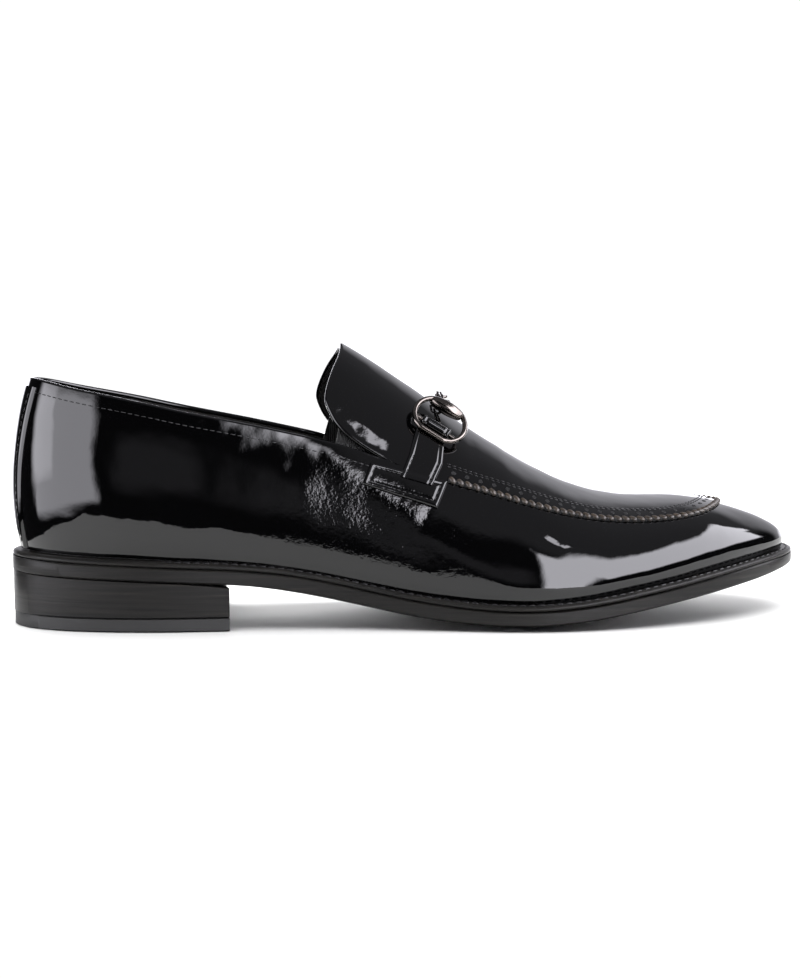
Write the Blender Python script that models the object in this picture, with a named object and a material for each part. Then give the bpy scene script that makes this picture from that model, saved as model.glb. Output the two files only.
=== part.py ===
"""A right-foot bit loafer in black patent leather, standing empty on its sole.

Metres. +X runs from the heel to the toe, +Y to the inner (medial) side and +Z up. The shoe is first built from the
back of the sole at x = 0 on the heel's own axis, and at the end it is moved so that the origin is the centre of the
bottom of its box.
"""

import math

import bmesh
import bpy
import numpy as np
from mathutils import Vector

# Sizes of the last and the sole
LENGTH = 0.302  # outsole, back to toe tip
BALL_WIDTH = 0.1025  # outsole, across the ball
INSTEP_HEIGHT = 0.1025  # floor to the top of the tongue
BACK_HEIGHT = 0.0908  # floor to the topline at the back of the heel
HEEL_HEIGHT = 0.0205  # floor to the underside of the outsole, at the back
TOE_SPRING = 0.0160  # floor to the underside of the outsole, at the toe tip
OUTSOLE = 0.0052  # thickness at the edge, behind the toe
CAMBER = 0.0025  # how much lower the outsole's middle is than its edge
WELT = 0.0018  # thickness
WELT_LEDGE = 0.0040  # how far the sole stands out from the upper, at heel and toe
WAIST_LEDGE = 0.0028  # the same in the waist
WELT_WIDTH = 0.0090
WELT_SETBACK = 0.0003  # of its edge from the outsole's
TOP_LIFT = 0.0050
HEEL_LENGTH = 0.0800
HEEL_TAPER = 0.0004  # how far the heel draws in towards the floor
BREAST_HOLLOW = 0.0045  # how far the middle of the heel's front is set back
INSOLE = 0.0025
WALL = 0.0020  # leather and lining of the upper
GAP = 0.0003  # between pieces that touch
APRON_STEP = 0.0008  # how far the apron stands over the vamp
BRAID_WIDTH = 0.0026
BRAID_HEIGHT = 0.0018
BACKSTAY = 0.0009
BACKSTAY_HALF_TOP = 0.0130
BACKSTAY_HALF_BOTTOM = 0.0095
BACKSTAY_FOOT = 0.012  # where it starts, as a share of the wall
GORE = 0.0012
STRAP = 0.0012
TAB = 0.0016
RING_RADIUS = 0.0101
RING_WIRE = 0.0010
BAR_DROP = 0.0081  # ring centre to the flat bar
INNER_BAR_DROP = 0.0046
INNER_BAR_WIRE = 0.0008
EYE_WIDTH = 0.82  # of the strap, where it is folded round the inner bar
BARREL_RISE = 0.0072
BARREL_LENGTH = 0.0128
BARREL_RADIUS = 0.0027
BARREL_END_RADIUS = 0.0016
LINKS = 5
LINK_WIDTH = 0.0056
LINK_WIRE = 0.0006
LINK_REST = 0.0030  # of a link's middle over the leather
STRAP_SEAT = 2.2 * GAP  # under the strap, where it lies on the quarter
BAR_LIFT = RING_WIRE + GAP + STRAP + 2 * GAP  # of the flat bar's middle over the leather
BACKSTAY_DROP = 0.0026  # of the strip's upper end below the topline
BRAID_OUTSET = 0.0009  # of the braid's middle from the apron's edge, out over the vamp

# Plan of the feather line, where upper and welt meet. share: of its length, from the back. full: half-width as a
# share of the ball width, divided by the half-chord of a circle there. centre: of the ball width, + is medial.
# power: of the superellipse that the section follows. bulge: of the ball width, how far the wall swells.
LAST = [
    # share, full, centre, power, bulge
    (0.000, 0.488, 0.000, 3.00, 0.030),
    (0.080, 0.428, -0.001, 2.95, 0.036),
    (0.140, 0.400, -0.002, 2.80, 0.037),
    (0.250, 0.342, -0.012, 2.50, 0.031),
    (0.350, 0.316, -0.029, 2.20, 0.027),
    (0.450, 0.328, -0.045, 2.05, 0.024),
    (0.550, 0.385, -0.051, 2.02, 0.022),
    (0.640, 0.457, -0.043, 2.05, 0.020),
    (0.720, 0.503, -0.021, 2.15, 0.018),
    (0.800, 0.520, -0.004, 2.35, 0.015),
    (0.880, 0.516, 0.008, 2.65, 0.012),
    (0.950, 0.500, 0.017, 3.20, 0.009),
    (1.000, 0.486, 0.020, 3.80, 0.007),
]
# Top of the last over its length. height: of INSTEP_HEIGHT. side: of the ball width, + is medial.
# Behind the tongue it is the crown that the collar is cut from.
RIDGE = [
    # share, height, side
    (0.000, 1.130, 0.000),
    (0.130, 1.140, 0.000),
    (0.250, 1.130, 0.010),
    (0.340, 1.085, 0.024),
    (0.414, 1.008, 0.034),
    (0.461, 0.923, 0.040),
    (0.512, 0.822, 0.043),
    (0.564, 0.712, 0.045),
    (0.616, 0.607, 0.045),
    (0.668, 0.522, 0.044),
    (0.721, 0.460, 0.042),
    (0.775, 0.430, 0.039),
    (0.854, 0.419, 0.034),
    (0.905, 0.395, 0.030),
    (0.945, 0.369, 0.026),
    (1.000, 0.330, 0.020),
]
# Outsole over LENGTH. heel: its underside, of HEEL_HEIGHT. spring: of TOE_SPRING. camber: of CAMBER.
# thick: its edge, of OUTSOLE.
TREAD = [
    # share, heel, spring, camber, thick
    (0.000, 1.000, 0.000, 0.00, 1.00),
    (0.095, 0.940, 0.000, 0.00, 1.00),
    (0.160, 0.900, 0.000, 0.00, 1.00),
    (0.220, 0.850, 0.000, 0.05, 1.00),
    (0.270, 0.770, 0.000, 0.40, 1.00),
    (0.331, 0.620, 0.000, 0.85, 1.00),
    (0.408, 0.390, 0.000, 1.00, 1.00),
    (0.470, 0.190, 0.000, 1.00, 1.00),
    (0.530, 0.052, 0.000, 1.00, 1.00),
    (0.580, -0.012, 0.000, 1.00, 1.00),
    (0.640, -0.014, 0.000, 1.00, 1.00),
    (0.703, 0.000, 0.085, 1.00, 1.00),
    (0.757, 0.000, 0.235, 1.00, 1.00),
    (0.821, 0.000, 0.425, 1.00, 1.00),
    (0.887, 0.000, 0.620, 1.00, 1.00),
    (0.946, 0.000, 0.800, 1.00, 0.88),
    (1.000, 0.000, 0.985, 1.00, 0.56),
]
# The edge of the apron on each meridian of the last. out: from the spine to the wall, as a share.
APRON = [
    # share, out
    (0.400, 0.853),
    (0.470, 0.823),
    (0.530, 0.788),
    (0.570, 0.760),
    (0.620, 0.729),
    (0.670, 0.709),
    (0.720, 0.697),
    (0.775, 0.701),
    (0.830, 0.717),
    (0.900, 0.690),
    (0.950, 0.580),
    (0.970, 0.515),
    (1.000, 0.393),
]
# Topline of the quarters, from the back to the throat. along: of LENGTH. rise: from the throat's height to
# BACK_HEIGHT.
THROAT_HEIGHT = 0.580  # of INSTEP_HEIGHT
TOPLINE = [
    # along, rise
    (0.000, 1.006),
    (0.025, 1.000),
    (0.067, 0.917),
    (0.114, 0.821),
    (0.162, 0.726),
    (0.209, 0.624),
    (0.256, 0.531),
    (0.303, 0.439),
    (0.351, 0.337),
    (0.399, 0.223),
    (0.436, 0.107),
    (0.468, 0.000),
]
# Free edge of the tongue, from the throat up to its top. height: of INSTEP_HEIGHT.
TONGUE = [
    # along, height
    (0.463, 0.590),
    (0.449, 0.615),
    (0.425, 0.660),
    (0.401, 0.722),
    (0.390, 0.780),
    (0.388, 0.835),
    (0.400, 0.925),
    (0.411, 0.985),
    (0.420, 1.080),
]
# The tab stitched to the quarter, the elastic inside the throat and the strap from tab to bit, seen from the side.
# along: of LENGTH. height: of INSTEP_HEIGHT. Each starts at its lower back corner and goes round by the front.
TAB_CORNERS = [(0.424, 0.514), (0.5135, 0.427), (0.5285, 0.516), (0.4355, 0.588)]
GORE_CORNERS = [(0.386, 0.560), (0.458, 0.520), (0.462, 0.585), (0.402, 0.735)]
STRAP_CORNERS = [(0.4700, 0.535), (0.5090, 0.500), (0.5270, 0.590), (0.4870, 0.634)]
STRAP_LAID = 0.86  # share of the strap's length that lies on the leather, before it rises to the bar
WRAP = (math.radians(-100), math.radians(170))  # of the strap round the inner bar, from its underside
BRAID_START = 0.545  # share of the length, at the strap
STEP_START = 0.570  # where the apron begins to stand up
STEP_RUN = 0.040
BIT_ALONG = 0.5110
BIT_HEIGHT = 0.6680
INNER_DROP = 0.035  # how much lower strap and ring sit on the inner side
BAR_SLOPE = math.radians(-32)  # of the bar, seen from the side, as the instep falls

# How finely the pieces are made
ROUND = 72  # steps round the shoe
SIDE_ROWS = 9  # rows from the welt up to the apron
TOP_ROWS = 7  # rows from the apron to the spine
HEEL_SPINE = 0.113  # share of the length where the last's spine starts
TOE_SPINE = 0.147  # and how far before the toe it ends
SPINE_FADE = 0.16
WAIST_MIDDLE = 0.36  # share of the length
WAIST_REACH = 0.14


def table(rows, column):
    """A natural cubic spline through one column of a table, over its first."""
    x = np.array([row[0] for row in rows])
    y = np.array([row[column] for row in rows])
    step = np.diff(x)
    matrix = np.eye(len(x))
    right = np.zeros(len(x))
    for i in range(1, len(x) - 1):
        matrix[i, i - 1 : i + 2] = step[i - 1], 2 * (step[i - 1] + step[i]), step[i]
        right[i] = 6 * ((y[i + 1] - y[i]) / step[i] - (y[i] - y[i - 1]) / step[i - 1])
    bend = np.linalg.solve(matrix, right)

    def value(at):
        at = np.clip(np.asarray(at, float), x[0], x[-1])
        i = np.clip(np.searchsorted(x, at) - 1, 0, len(x) - 2)
        back, on = at - x[i], x[i + 1] - at
        cubic = (bend[i] * on**3 + bend[i + 1] * back**3) / (6 * step[i])
        start = y[i] / step[i] - bend[i] * step[i] / 6
        end = y[i + 1] / step[i] - bend[i + 1] * step[i] / 6
        return cubic + start * on + end * back

    return value


FULL, CENTRE, POWER, BULGE = (table(LAST, k) for k in (1, 2, 3, 4))
RIDGE_HEIGHT, RIDGE_SIDE = table(RIDGE, 1), table(RIDGE, 2)
TREAD_HEEL, TREAD_SPRING, TREAD_CAMBER, TREAD_THICK = (table(TREAD, k) for k in (1, 2, 3, 4))
APRON_OUT = table(APRON, 1)
TOPLINE_RISE = table(TOPLINE, 1)
FEATHER_START = WELT_LEDGE
FEATHER_LENGTH = LENGTH - 2 * WELT_LEDGE


def tread(x):
    """Height of the underside of the outsole along its middle."""
    share = x / LENGTH
    return HEEL_HEIGHT * TREAD_HEEL(share) + TOE_SPRING * TREAD_SPRING(share)


def sole_top(x):
    share = x / LENGTH
    return tread(x) + CAMBER * TREAD_CAMBER(share) + OUTSOLE * TREAD_THICK(share)


def feather(x):
    """Height of the upper's lower edge, on the welt."""
    return sole_top(x) + GAP + WELT + GAP


def ridge(x):
    return INSTEP_HEIGHT * RIDGE_HEIGHT(x / LENGTH)


def topline(x):
    """Height of the quarters' upper edge."""
    throat = INSTEP_HEIGHT * THROAT_HEIGHT
    return throat + (BACK_HEIGHT - throat) * TOPLINE_RISE(x / LENGTH)


def plan(turn):
    """The feather line seen from above. turn runs from 0 at the back by the outer side to pi at the toe, and on."""
    share = (1 - np.cos(turn)) / 2
    x = FEATHER_START + FEATHER_LENGTH * share
    middle = BALL_WIDTH * CENTRE(share)
    half = BALL_WIDTH * FULL(share) * np.sin(turn)
    return share, x, middle, half


def arc_parts(angle, power):
    """How far out and how far up a superellipse is, at an angle from its foot."""
    out, up = np.abs(np.cos(angle)), np.abs(np.sin(angle))
    size = (out**power + up**power) ** (1 / power)
    return out / size, up / size


def swell(up):
    """The wall's bulge over its height: 0 at the foot and the top, and 1 at a third."""
    return 6.75 * up * (1 - up) ** 2


def last_point(turn, angle):
    """A point of the last: turn goes round the shoe and angle from the welt (0) to the spine (a quarter turn)."""
    share, x, middle, half = plan(turn)
    power = POWER(share)
    spine = x + FEATHER_LENGTH * (
        HEEL_SPINE * np.exp(-((share / SPINE_FADE) ** 2)) - TOE_SPINE * np.exp(-(((1 - share) / SPINE_FADE) ** 2))
    )
    out, up = arc_parts(angle, power)
    reach = np.hypot(x - spine, half)
    out = out + BALL_WIDTH * BULGE(share) * swell(up) / reach
    top_side = BALL_WIDTH * RIDGE_SIDE(spine / LENGTH)
    px = spine + (x - spine) * out
    py = middle - half * out + (top_side - middle) * up**2
    foot = feather(px)
    return np.stack([px, py, foot + (ridge(px) - foot) * up], -1)


def last_normal(turn, angle):
    """The outward direction of the last at a point."""
    step = 1e-4
    angle = np.clip(angle, step, math.pi / 2 - step)
    along = last_point(turn + step, angle) - last_point(turn - step, angle)
    rise = last_point(turn, angle + step) - last_point(turn, angle - step)
    normal = np.cross(along, rise)
    return normal / np.linalg.norm(normal, axis=-1, keepdims=True)


def apron_angle(turn):
    """The angle of the apron's edge on each meridian."""
    share = (1 - np.cos(turn)) / 2
    power = POWER(share)
    out = APRON_OUT(np.maximum(share, APRON[0][0]))
    return np.arctan2((1 - out**power) ** (1 / power), out)


def side_point(x, z, side, lift=0.0):
    """A point of the waist's and instep's wall by its place in the side view, lifted off the leather.
    side is -1 for the outer wall and 1 for the inner one."""

    def on_wall(x, z):
        share = (x - FEATHER_START) / FEATHER_LENGTH
        foot, power = feather(x), POWER(share)
        up = np.clip((z - foot) / (ridge(x) - foot), 0, 1)
        half = BALL_WIDTH * FULL(share) * 2 * np.sqrt(share * (1 - share))
        out = (1 - up**power) ** (1 / power) * half + BALL_WIDTH * BULGE(share) * swell(up)
        middle = BALL_WIDTH * CENTRE(share)
        return np.stack([x, middle + side * out + (BALL_WIDTH * RIDGE_SIDE(x / LENGTH) - middle) * up**2, z], -1)

    x, z = np.broadcast_arrays(np.asarray(x, float), np.asarray(z, float))
    step = 1e-4
    along = on_wall(x + step, z) - on_wall(x - step, z)
    rise = on_wall(x, z + step) - on_wall(x, z - step)
    normal = np.cross(along, rise) * -side
    normal /= np.linalg.norm(normal, axis=-1, keepdims=True)
    return on_wall(x, z) + normal * np.asarray(lift)[..., None], normal


def seat(x, y, lift):
    """Height and normal of a surface lifted off the last, over a place near the middle of the instep."""
    middle = BALL_WIDTH * RIDGE_SIDE(x / LENGTH)
    levels = np.linspace(ridge(x) - GAP / 10, (ridge(x) + feather(x)) / 2, 60)
    wall, normals = side_point(x, levels, 1 if y > middle else -1)
    away = np.abs(wall[:, 1] - middle)
    height = float(np.interp(abs(y - middle), away, wall[:, 2]))
    normal = np.array([np.interp(abs(y - middle), away, normals[:, k]) for k in range(3)])
    normal /= np.linalg.norm(normal)
    return height + lift / normal[2], normal


def material(name, colour, roughness, metallic=0.0):
    made = bpy.data.materials.new(name)
    made.use_nodes = True
    shader = made.node_tree.nodes["Principled BSDF"]
    shader.inputs["Base Color"].default_value = (*colour, 1)
    shader.inputs["Roughness"].default_value = roughness
    shader.inputs["Metallic"].default_value = metallic
    return made


def add(name, points, faces, finish):
    """A named object with its own finish, from points and faces, with its normals facing out."""
    mesh = bpy.data.meshes.new(name)
    mesh.from_pydata([tuple(p) for p in points], [], [tuple(f) for f in faces])
    body = bmesh.new()
    body.from_mesh(mesh)
    bmesh.ops.remove_doubles(body, verts=body.verts, dist=1e-6)
    bmesh.ops.triangulate(body, faces=body.faces)
    bmesh.ops.recalc_face_normals(body, faces=body.faces)
    body.to_mesh(mesh)
    body.free()
    mesh.shade_smooth()
    mesh.set_sharp_from_angle(angle=math.radians(40))
    made = bpy.data.objects.new(name, mesh)
    bpy.context.scene.collection.objects.link(made)
    if finish is not None:
        mesh.materials.append(finish)
    return made


def grid_faces(rows, columns, first=0, closed=False):
    """The quads between rows of points; closed joins the last column to the first."""
    faces = []
    for r in range(rows - 1):
        for c in range(columns if closed else columns - 1):
            a, b = first + r * columns + c, first + r * columns + (c + 1) % columns
            faces.append((a, b, b + columns, a + columns))
    return faces


def slab(name, outer, inner, finish):
    """A solid between two grids of points of the same shape, (rows, columns, 3), closed round its rim."""
    rows, columns = outer.shape[:2]
    count = rows * columns
    faces = grid_faces(rows, columns) + [f[::-1] for f in grid_faces(rows, columns, count)]
    rim = [c for c in range(columns)]
    rim += [r * columns + columns - 1 for r in range(1, rows)]
    rim += [(rows - 1) * columns + c for c in range(columns - 2, -1, -1)]
    rim += [r * columns for r in range(rows - 2, 0, -1)]
    for a, b in zip(rim, rim[1:] + rim[:1]):
        faces.append((b, a, a + count, b + count))
    return add(name, np.concatenate([outer.reshape(-1, 3), inner.reshape(-1, 3)]), faces, finish)


def swept(name, loops, finish, closed=False):
    """A solid through loops of points, capped at its ends, or joined end to start where closed."""
    loops = np.asarray(loops)
    count, sides = loops.shape[:2]
    faces = grid_faces(count, sides, closed=True)
    if closed:
        last = (count - 1) * sides
        faces += [(last + c, last + (c + 1) % sides, (c + 1) % sides, c) for c in range(sides)]
    else:
        faces += [tuple(range(sides))[::-1], tuple(range((count - 1) * sides, count * sides))]
    return add(name, loops.reshape(-1, 3), faces, finish)


def tube_loops(path, radius, sides, up, closed=False):
    """Loops of points round a path. radius: one, or a pair across and up. up: a direction, or one for each point."""
    path = np.asarray(path, float)
    if closed:
        ahead = np.roll(path, -1, 0) - np.roll(path, 1, 0)
    else:
        ahead = np.gradient(path, axis=0)
    ahead /= np.linalg.norm(ahead, axis=1, keepdims=True)
    across = np.cross(ahead, np.broadcast_to(np.asarray(up, float), path.shape))
    across /= np.linalg.norm(across, axis=1, keepdims=True)
    over = np.cross(across, ahead)
    radius = np.broadcast_to(np.asarray(radius, float), (len(path), 2))
    angles = np.arange(sides) * 2 * math.pi / sides
    return (
        path[:, None]
        + across[:, None] * (radius[:, :1] * np.cos(angles))[..., None]
        + over[:, None] * (radius[:, 1:] * np.sin(angles))[..., None]
    )


def boolean(target, tool, operation):
    """Applies a Boolean to target and removes the tool."""
    change = target.modifiers.new(operation, "BOOLEAN")
    change.operation, change.solver, change.object = operation, "EXACT", tool
    graph = bpy.context.evaluated_depsgraph_get()
    mesh = bpy.data.meshes.new_from_object(target.evaluated_get(graph))
    target.modifiers.remove(change)
    target.data = mesh
    bpy.data.objects.remove(tool)
    return target


def sole_line(turn, inset=0.0):
    """The edge of the sole seen from above: the feather line, moved out by the ledge, or in where inset is large."""
    share = (1 - np.cos(turn)) / 2
    waist = np.exp(-(((share - WAIST_MIDDLE) / WAIST_REACH) ** 2))
    ledge = WELT_LEDGE + (WAIST_LEDGE - WELT_LEDGE) * waist

    def base(turn):
        _, x, middle, half = plan(turn)
        return np.stack([x, middle - half], -1)

    step = 1e-4
    along = base(turn + step) - base(turn - step)
    along /= np.linalg.norm(along, axis=-1, keepdims=True)
    return base(turn) + np.stack([along[..., 1], -along[..., 0]], -1) * (ledge - inset)[..., None]


def half_turns(count, end=math.pi):
    return np.linspace(0, end, count + 1)


def plate(name, inset, top, bottom, finish, columns=6, stations=ROUND // 2, end=math.pi, hollow=0.0):
    """A solid with the sole's outline, inset, from the back to a station. top and bottom give its height at x and at
    a share across, from -1 to 1. hollow sets back the middle of its front."""
    turns = half_turns(stations, end)
    outer = sole_line(turns, np.full(turns.shape, inset))
    inner = sole_line(2 * math.pi - turns, np.full(turns.shape, inset))
    across = np.linspace(0, 1, columns + 1)[None, :, None]
    flat = outer[:, None] * (1 - across) + inner[:, None] * across
    side = np.broadcast_to(np.linspace(-1, 1, columns + 1), flat.shape[:2])
    flat[..., 0] -= hollow * (1 - side**2) * (np.maximum(flat[..., 0], 0) / flat[..., 0].max()) ** 6
    side = 1 - (1 - np.abs(side)) * np.minimum(1, 2 * np.sin(turns))[:, None]
    upper = np.dstack([flat, top(flat[..., 0], side)])
    lower = np.dstack([flat, bottom(flat[..., 0], side)])
    return slab(name, upper, lower, finish)


def make_upper(finish):
    """The quarters, vamp and apron as one hollow wall, open at the collar and underneath."""
    turns = np.arange(ROUND) * 2 * math.pi / ROUND
    edge = apron_angle(turns)
    lower = np.linspace(0, 1, SIDE_ROWS + 1)[:, None] * edge
    step_row = edge + (math.pi / 2 - edge) * 0.07
    upper = step_row + np.linspace(0, 1, TOP_ROWS + 1)[:, None] * (math.pi / 2 - step_row)
    angles = np.concatenate([lower, upper])
    share = (1 - np.cos(turns)) / 2
    front = np.clip((share - STEP_START) / STEP_RUN, 0, 1)
    raised = np.zeros(angles.shape)
    raised[SIDE_ROWS + 1 :] = APRON_STEP * front
    turns = np.broadcast_to(turns, angles.shape)
    points, normals = last_point(turns, angles), last_normal(turns, angles)
    # At the spine both sides share one row of points.
    mirrored = (-np.arange(ROUND)) % ROUND
    spine_normal = normals[-1] + normals[-1][mirrored]
    normals[-1] = spine_normal / np.linalg.norm(spine_normal, axis=1, keepdims=True)
    outer = points + normals * raised[..., None]
    inward = normals.copy()
    inward[0, :, 2] = 0
    inner = points - inward * WALL
    rows = len(angles)
    count = rows * ROUND
    faces = grid_faces(rows, ROUND, closed=True) + [f[::-1] for f in grid_faces(rows, ROUND, count, closed=True)]
    faces += [(c, (c + 1) % ROUND, count + (c + 1) % ROUND, count + c) for c in range(ROUND)]
    shell = add("upper", np.concatenate([outer.reshape(-1, 3), inner.reshape(-1, 3)]), faces, finish)
    return boolean(shell, collar_cutter(), "DIFFERENCE")


def collar_outline():
    """The collar's opening seen from the side: back along the topline, then up the tongue's edge."""
    quarters = [(x, topline(x)) for x in np.linspace(0, LENGTH * TOPLINE[-1][0], 26)]
    shares = np.linspace(0, 1, len(TONGUE))
    edge_x = table([(s, row[0]) for s, row in zip(shares, TONGUE)], 1)
    edge_z = table([(s, row[1]) for s, row in zip(shares, TONGUE)], 1)
    tongue = [(LENGTH * edge_x(s), INSTEP_HEIGHT * edge_z(s)) for s in np.linspace(0, 1, 25)]
    return quarters, tongue


def collar_cutter():
    quarters, tongue = collar_outline()
    high, behind, wide = 2 * INSTEP_HEIGHT, -LENGTH / 10, BALL_WIDTH
    outline = [(behind, quarters[0][1])] + quarters + tongue + [(tongue[-1][0], high), (behind, high)]
    loops = [[(x, y, z) for x, z in outline] for y in (-wide, wide)]
    return swept("collar_cutter", loops, None)


def make_sole(leather, rubber):
    plate("outsole", 0.0, lambda x, s: sole_top(x), outsole_bottom, leather)
    turns = np.arange(ROUND) * 2 * math.pi / ROUND
    rings = []
    corners = ((WELT_SETBACK, GAP), (WELT_SETBACK, GAP + WELT), (WELT_WIDTH, GAP + WELT), (WELT_WIDTH, GAP))
    for inset, level in corners:
        line = sole_line(turns, np.full(turns.shape, inset))
        rings.append(np.column_stack([line, sole_top(line[:, 0]) + level]))
    swept("welt", np.array(rings).transpose(1, 0, 2), leather, closed=True)
    breast = math.acos(1 - 2 * (HEEL_LENGTH - FEATHER_START) / FEATHER_LENGTH)
    block = plate(
        "heel_stack",
        0.0,
        lambda x, s: tread(x) - GAP,
        lambda x, s: 0 * x + TOP_LIFT + GAP,
        leather,
        columns=4,
        stations=14,
        end=breast,
        hollow=BREAST_HOLLOW,
    )
    lift = plate(
        "top_lift",
        HEEL_TAPER,
        lambda x, s: 0 * x + TOP_LIFT,
        lambda x, s: 0 * x,
        rubber,
        columns=4,
        stations=14,
        end=breast,
        hollow=BREAST_HOLLOW,
    )
    for vertex in block.data.vertices:
        if vertex.co.z < TOP_LIFT + 2 * GAP:
            nearest = min(lift.data.vertices, key=lambda v: (v.co.xy - vertex.co.xy).length)
            vertex.co.x, vertex.co.y = nearest.co.x, nearest.co.y


def outsole_bottom(x, side):
    """The underside, cambered across, with the flat spot under the ball that the floor gives it."""
    return np.maximum(tread(x) + CAMBER * TREAD_CAMBER(x / LENGTH) * np.abs(side) ** 4, 0)


def make_insole(finish):
    """The footbed, which also fills the space inside the welt."""
    bed = plate(
        "insole",
        WELT_LEDGE + WALL + 2 * GAP,
        lambda x, s: feather(x) + INSOLE,
        lambda x, s: feather(x),
        finish,
        stations=24,
    )
    core = plate(
        "insole_core",
        WELT_WIDTH + GAP,
        lambda x, s: feather(x) + INSOLE / 2,
        lambda x, s: sole_top(x) + GAP,
        None,
        stations=24,
    )
    return boolean(bed, core, "UNION")


def rim_angle(turn):
    """The angle on the last at the topline, for one turn."""
    angles = np.linspace(0.2, math.pi / 2 - 0.05, 240)
    points = last_point(np.full(angles.shape, turn), angles)
    over = points[:, 2] - topline(points[:, 0])
    k = int(np.argmax(over > 0))
    mix = over[k - 1] / (over[k - 1] - over[k])
    return angles[k - 1] + (angles[k] - angles[k - 1]) * mix


def make_backstay(finish):
    """The strip over the seam at the back of the heel, from the welt to just under the topline."""
    share = np.linspace(0, 1, 15)[:, None]
    half = BACKSTAY_HALF_BOTTOM + (BACKSTAY_HALF_TOP - BACKSTAY_HALF_BOTTOM) * share
    turns = half / (BALL_WIDTH * float(FULL(0.0))) * np.linspace(-1, 1, 9)
    wall = last_point(turns, np.full(turns.shape, 0.0))
    rims = np.array([[rim_angle(turn) for turn in row] for row in turns])
    high = rims * (1 - BACKSTAY_DROP / (topline(wall[..., 0]) - wall[..., 2]))
    low = BACKSTAY_FOOT * rims
    angles = low + (high - low) * share
    points, normals = last_point(turns, angles), last_normal(turns, angles)
    return slab("backstay", points + normals * (GAP + BACKSTAY), points + normals * GAP, finish)


def make_gore(name, side, finish):
    """The elastic inside the throat, between quarter and tongue."""
    u, w = np.meshgrid(np.linspace(0, 1, 7), np.linspace(0, 1, 7))
    x, z = patch(GORE_CORNERS, u, w)
    outer, _ = side_point(x, z, side, -(WALL + GAP) * np.ones(x.shape))
    inner, _ = side_point(x, z, side, -(WALL + GAP + GORE) * np.ones(x.shape))
    return slab(name, outer, inner, finish)


def patch(corners, u, w):
    """Places in the side view between four corners, as shares of LENGTH and INSTEP_HEIGHT."""
    c = np.array(corners)
    flat = (
        c[0] * ((1 - u) * (1 - w))[..., None]
        + c[1] * (u * (1 - w))[..., None]
        + c[2] * (u * w)[..., None]
        + c[3] * ((1 - u) * w)[..., None]
    )
    return LENGTH * flat[..., 0], INSTEP_HEIGHT * flat[..., 1]


def bit_frame(side):
    """Centre and directions of a ring: along its bar, up the instep, and off the leather."""
    x, z = LENGTH * BIT_ALONG, INSTEP_HEIGHT * (BIT_HEIGHT - (INNER_DROP if side > 0 else 0))
    bar, normal = side_point(np.array(x), np.array(z), side, np.array(BAR_LIFT))
    step = 1e-3
    on, _ = side_point(np.array(x + step * math.cos(BAR_SLOPE)), np.array(z + step * math.sin(BAR_SLOPE)), side, 0)
    off, _ = side_point(np.array(x - step * math.cos(BAR_SLOPE)), np.array(z - step * math.sin(BAR_SLOPE)), side, 0)
    along = (on - off) / np.linalg.norm(on - off)
    up = np.cross(normal, along) * -side
    return bar + up * BAR_DROP, along, up, normal


def make_strap(name, side, finish):
    """The tab on the quarter and the strap that passes under the ring's bar and wraps the inner bar."""
    u, w = np.meshgrid(np.linspace(0, 1, 9), np.linspace(0, 1, 4))
    drop = INSTEP_HEIGHT * (INNER_DROP if side > 0 else 0)
    x, z = patch(TAB_CORNERS, u, w)
    z = z - drop
    outer, _ = side_point(x, z, side, np.full(x.shape, GAP + TAB))
    inner, _ = side_point(x, z, side, np.full(x.shape, 2 * GAP))
    tab = slab(name, outer, inner, finish)
    centre, along, up, out = bit_frame(side)
    # The strap's own section: where it lies on the leather, then round the inner bar, in the ring's own directions.
    eye = centre - up * INNER_BAR_DROP
    wrap_in, wrap_out = INNER_BAR_WIRE + GAP, INNER_BAR_WIRE + GAP + STRAP
    width = np.linspace(0, 1, 5)
    u, w = np.meshgrid(width, np.linspace(0, STRAP_LAID, 5))
    x, z = patch(STRAP_CORNERS, u, w)
    z = z - drop
    low, _ = side_point(x, z, side, np.full(x.shape, STRAP_SEAT))
    high, _ = side_point(x, z, side, np.full(x.shape, STRAP_SEAT + STRAP))
    eye_width = LENGTH * (STRAP_CORNERS[2][0] - STRAP_CORNERS[3][0]) / math.cos(BAR_SLOPE) * EYE_WIDTH
    offsets = (width - 0.5) * eye_width
    turns = np.linspace(*WRAP, 9)
    ring_in = [eye + along * o + (up * math.cos(t) + out * math.sin(t)) * wrap_in for t in turns for o in offsets]
    ring_out = [eye + along * o + (up * math.cos(t) + out * math.sin(t)) * wrap_out for t in turns for o in offsets]
    ring_in = np.array(ring_in).reshape(len(turns), len(width), 3)
    ring_out = np.array(ring_out).reshape(len(turns), len(width), 3)
    under_bar = np.array([[centre - up * BAR_DROP + along * o - out * (RING_WIRE + GAP) for o in offsets]])
    outer = np.concatenate([high, under_bar, ring_in])
    inner = np.concatenate([low, under_bar - out * STRAP, ring_out])
    strap = slab(name + "_strap", outer, inner, None)
    return boolean(tab, strap, "UNION")


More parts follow.
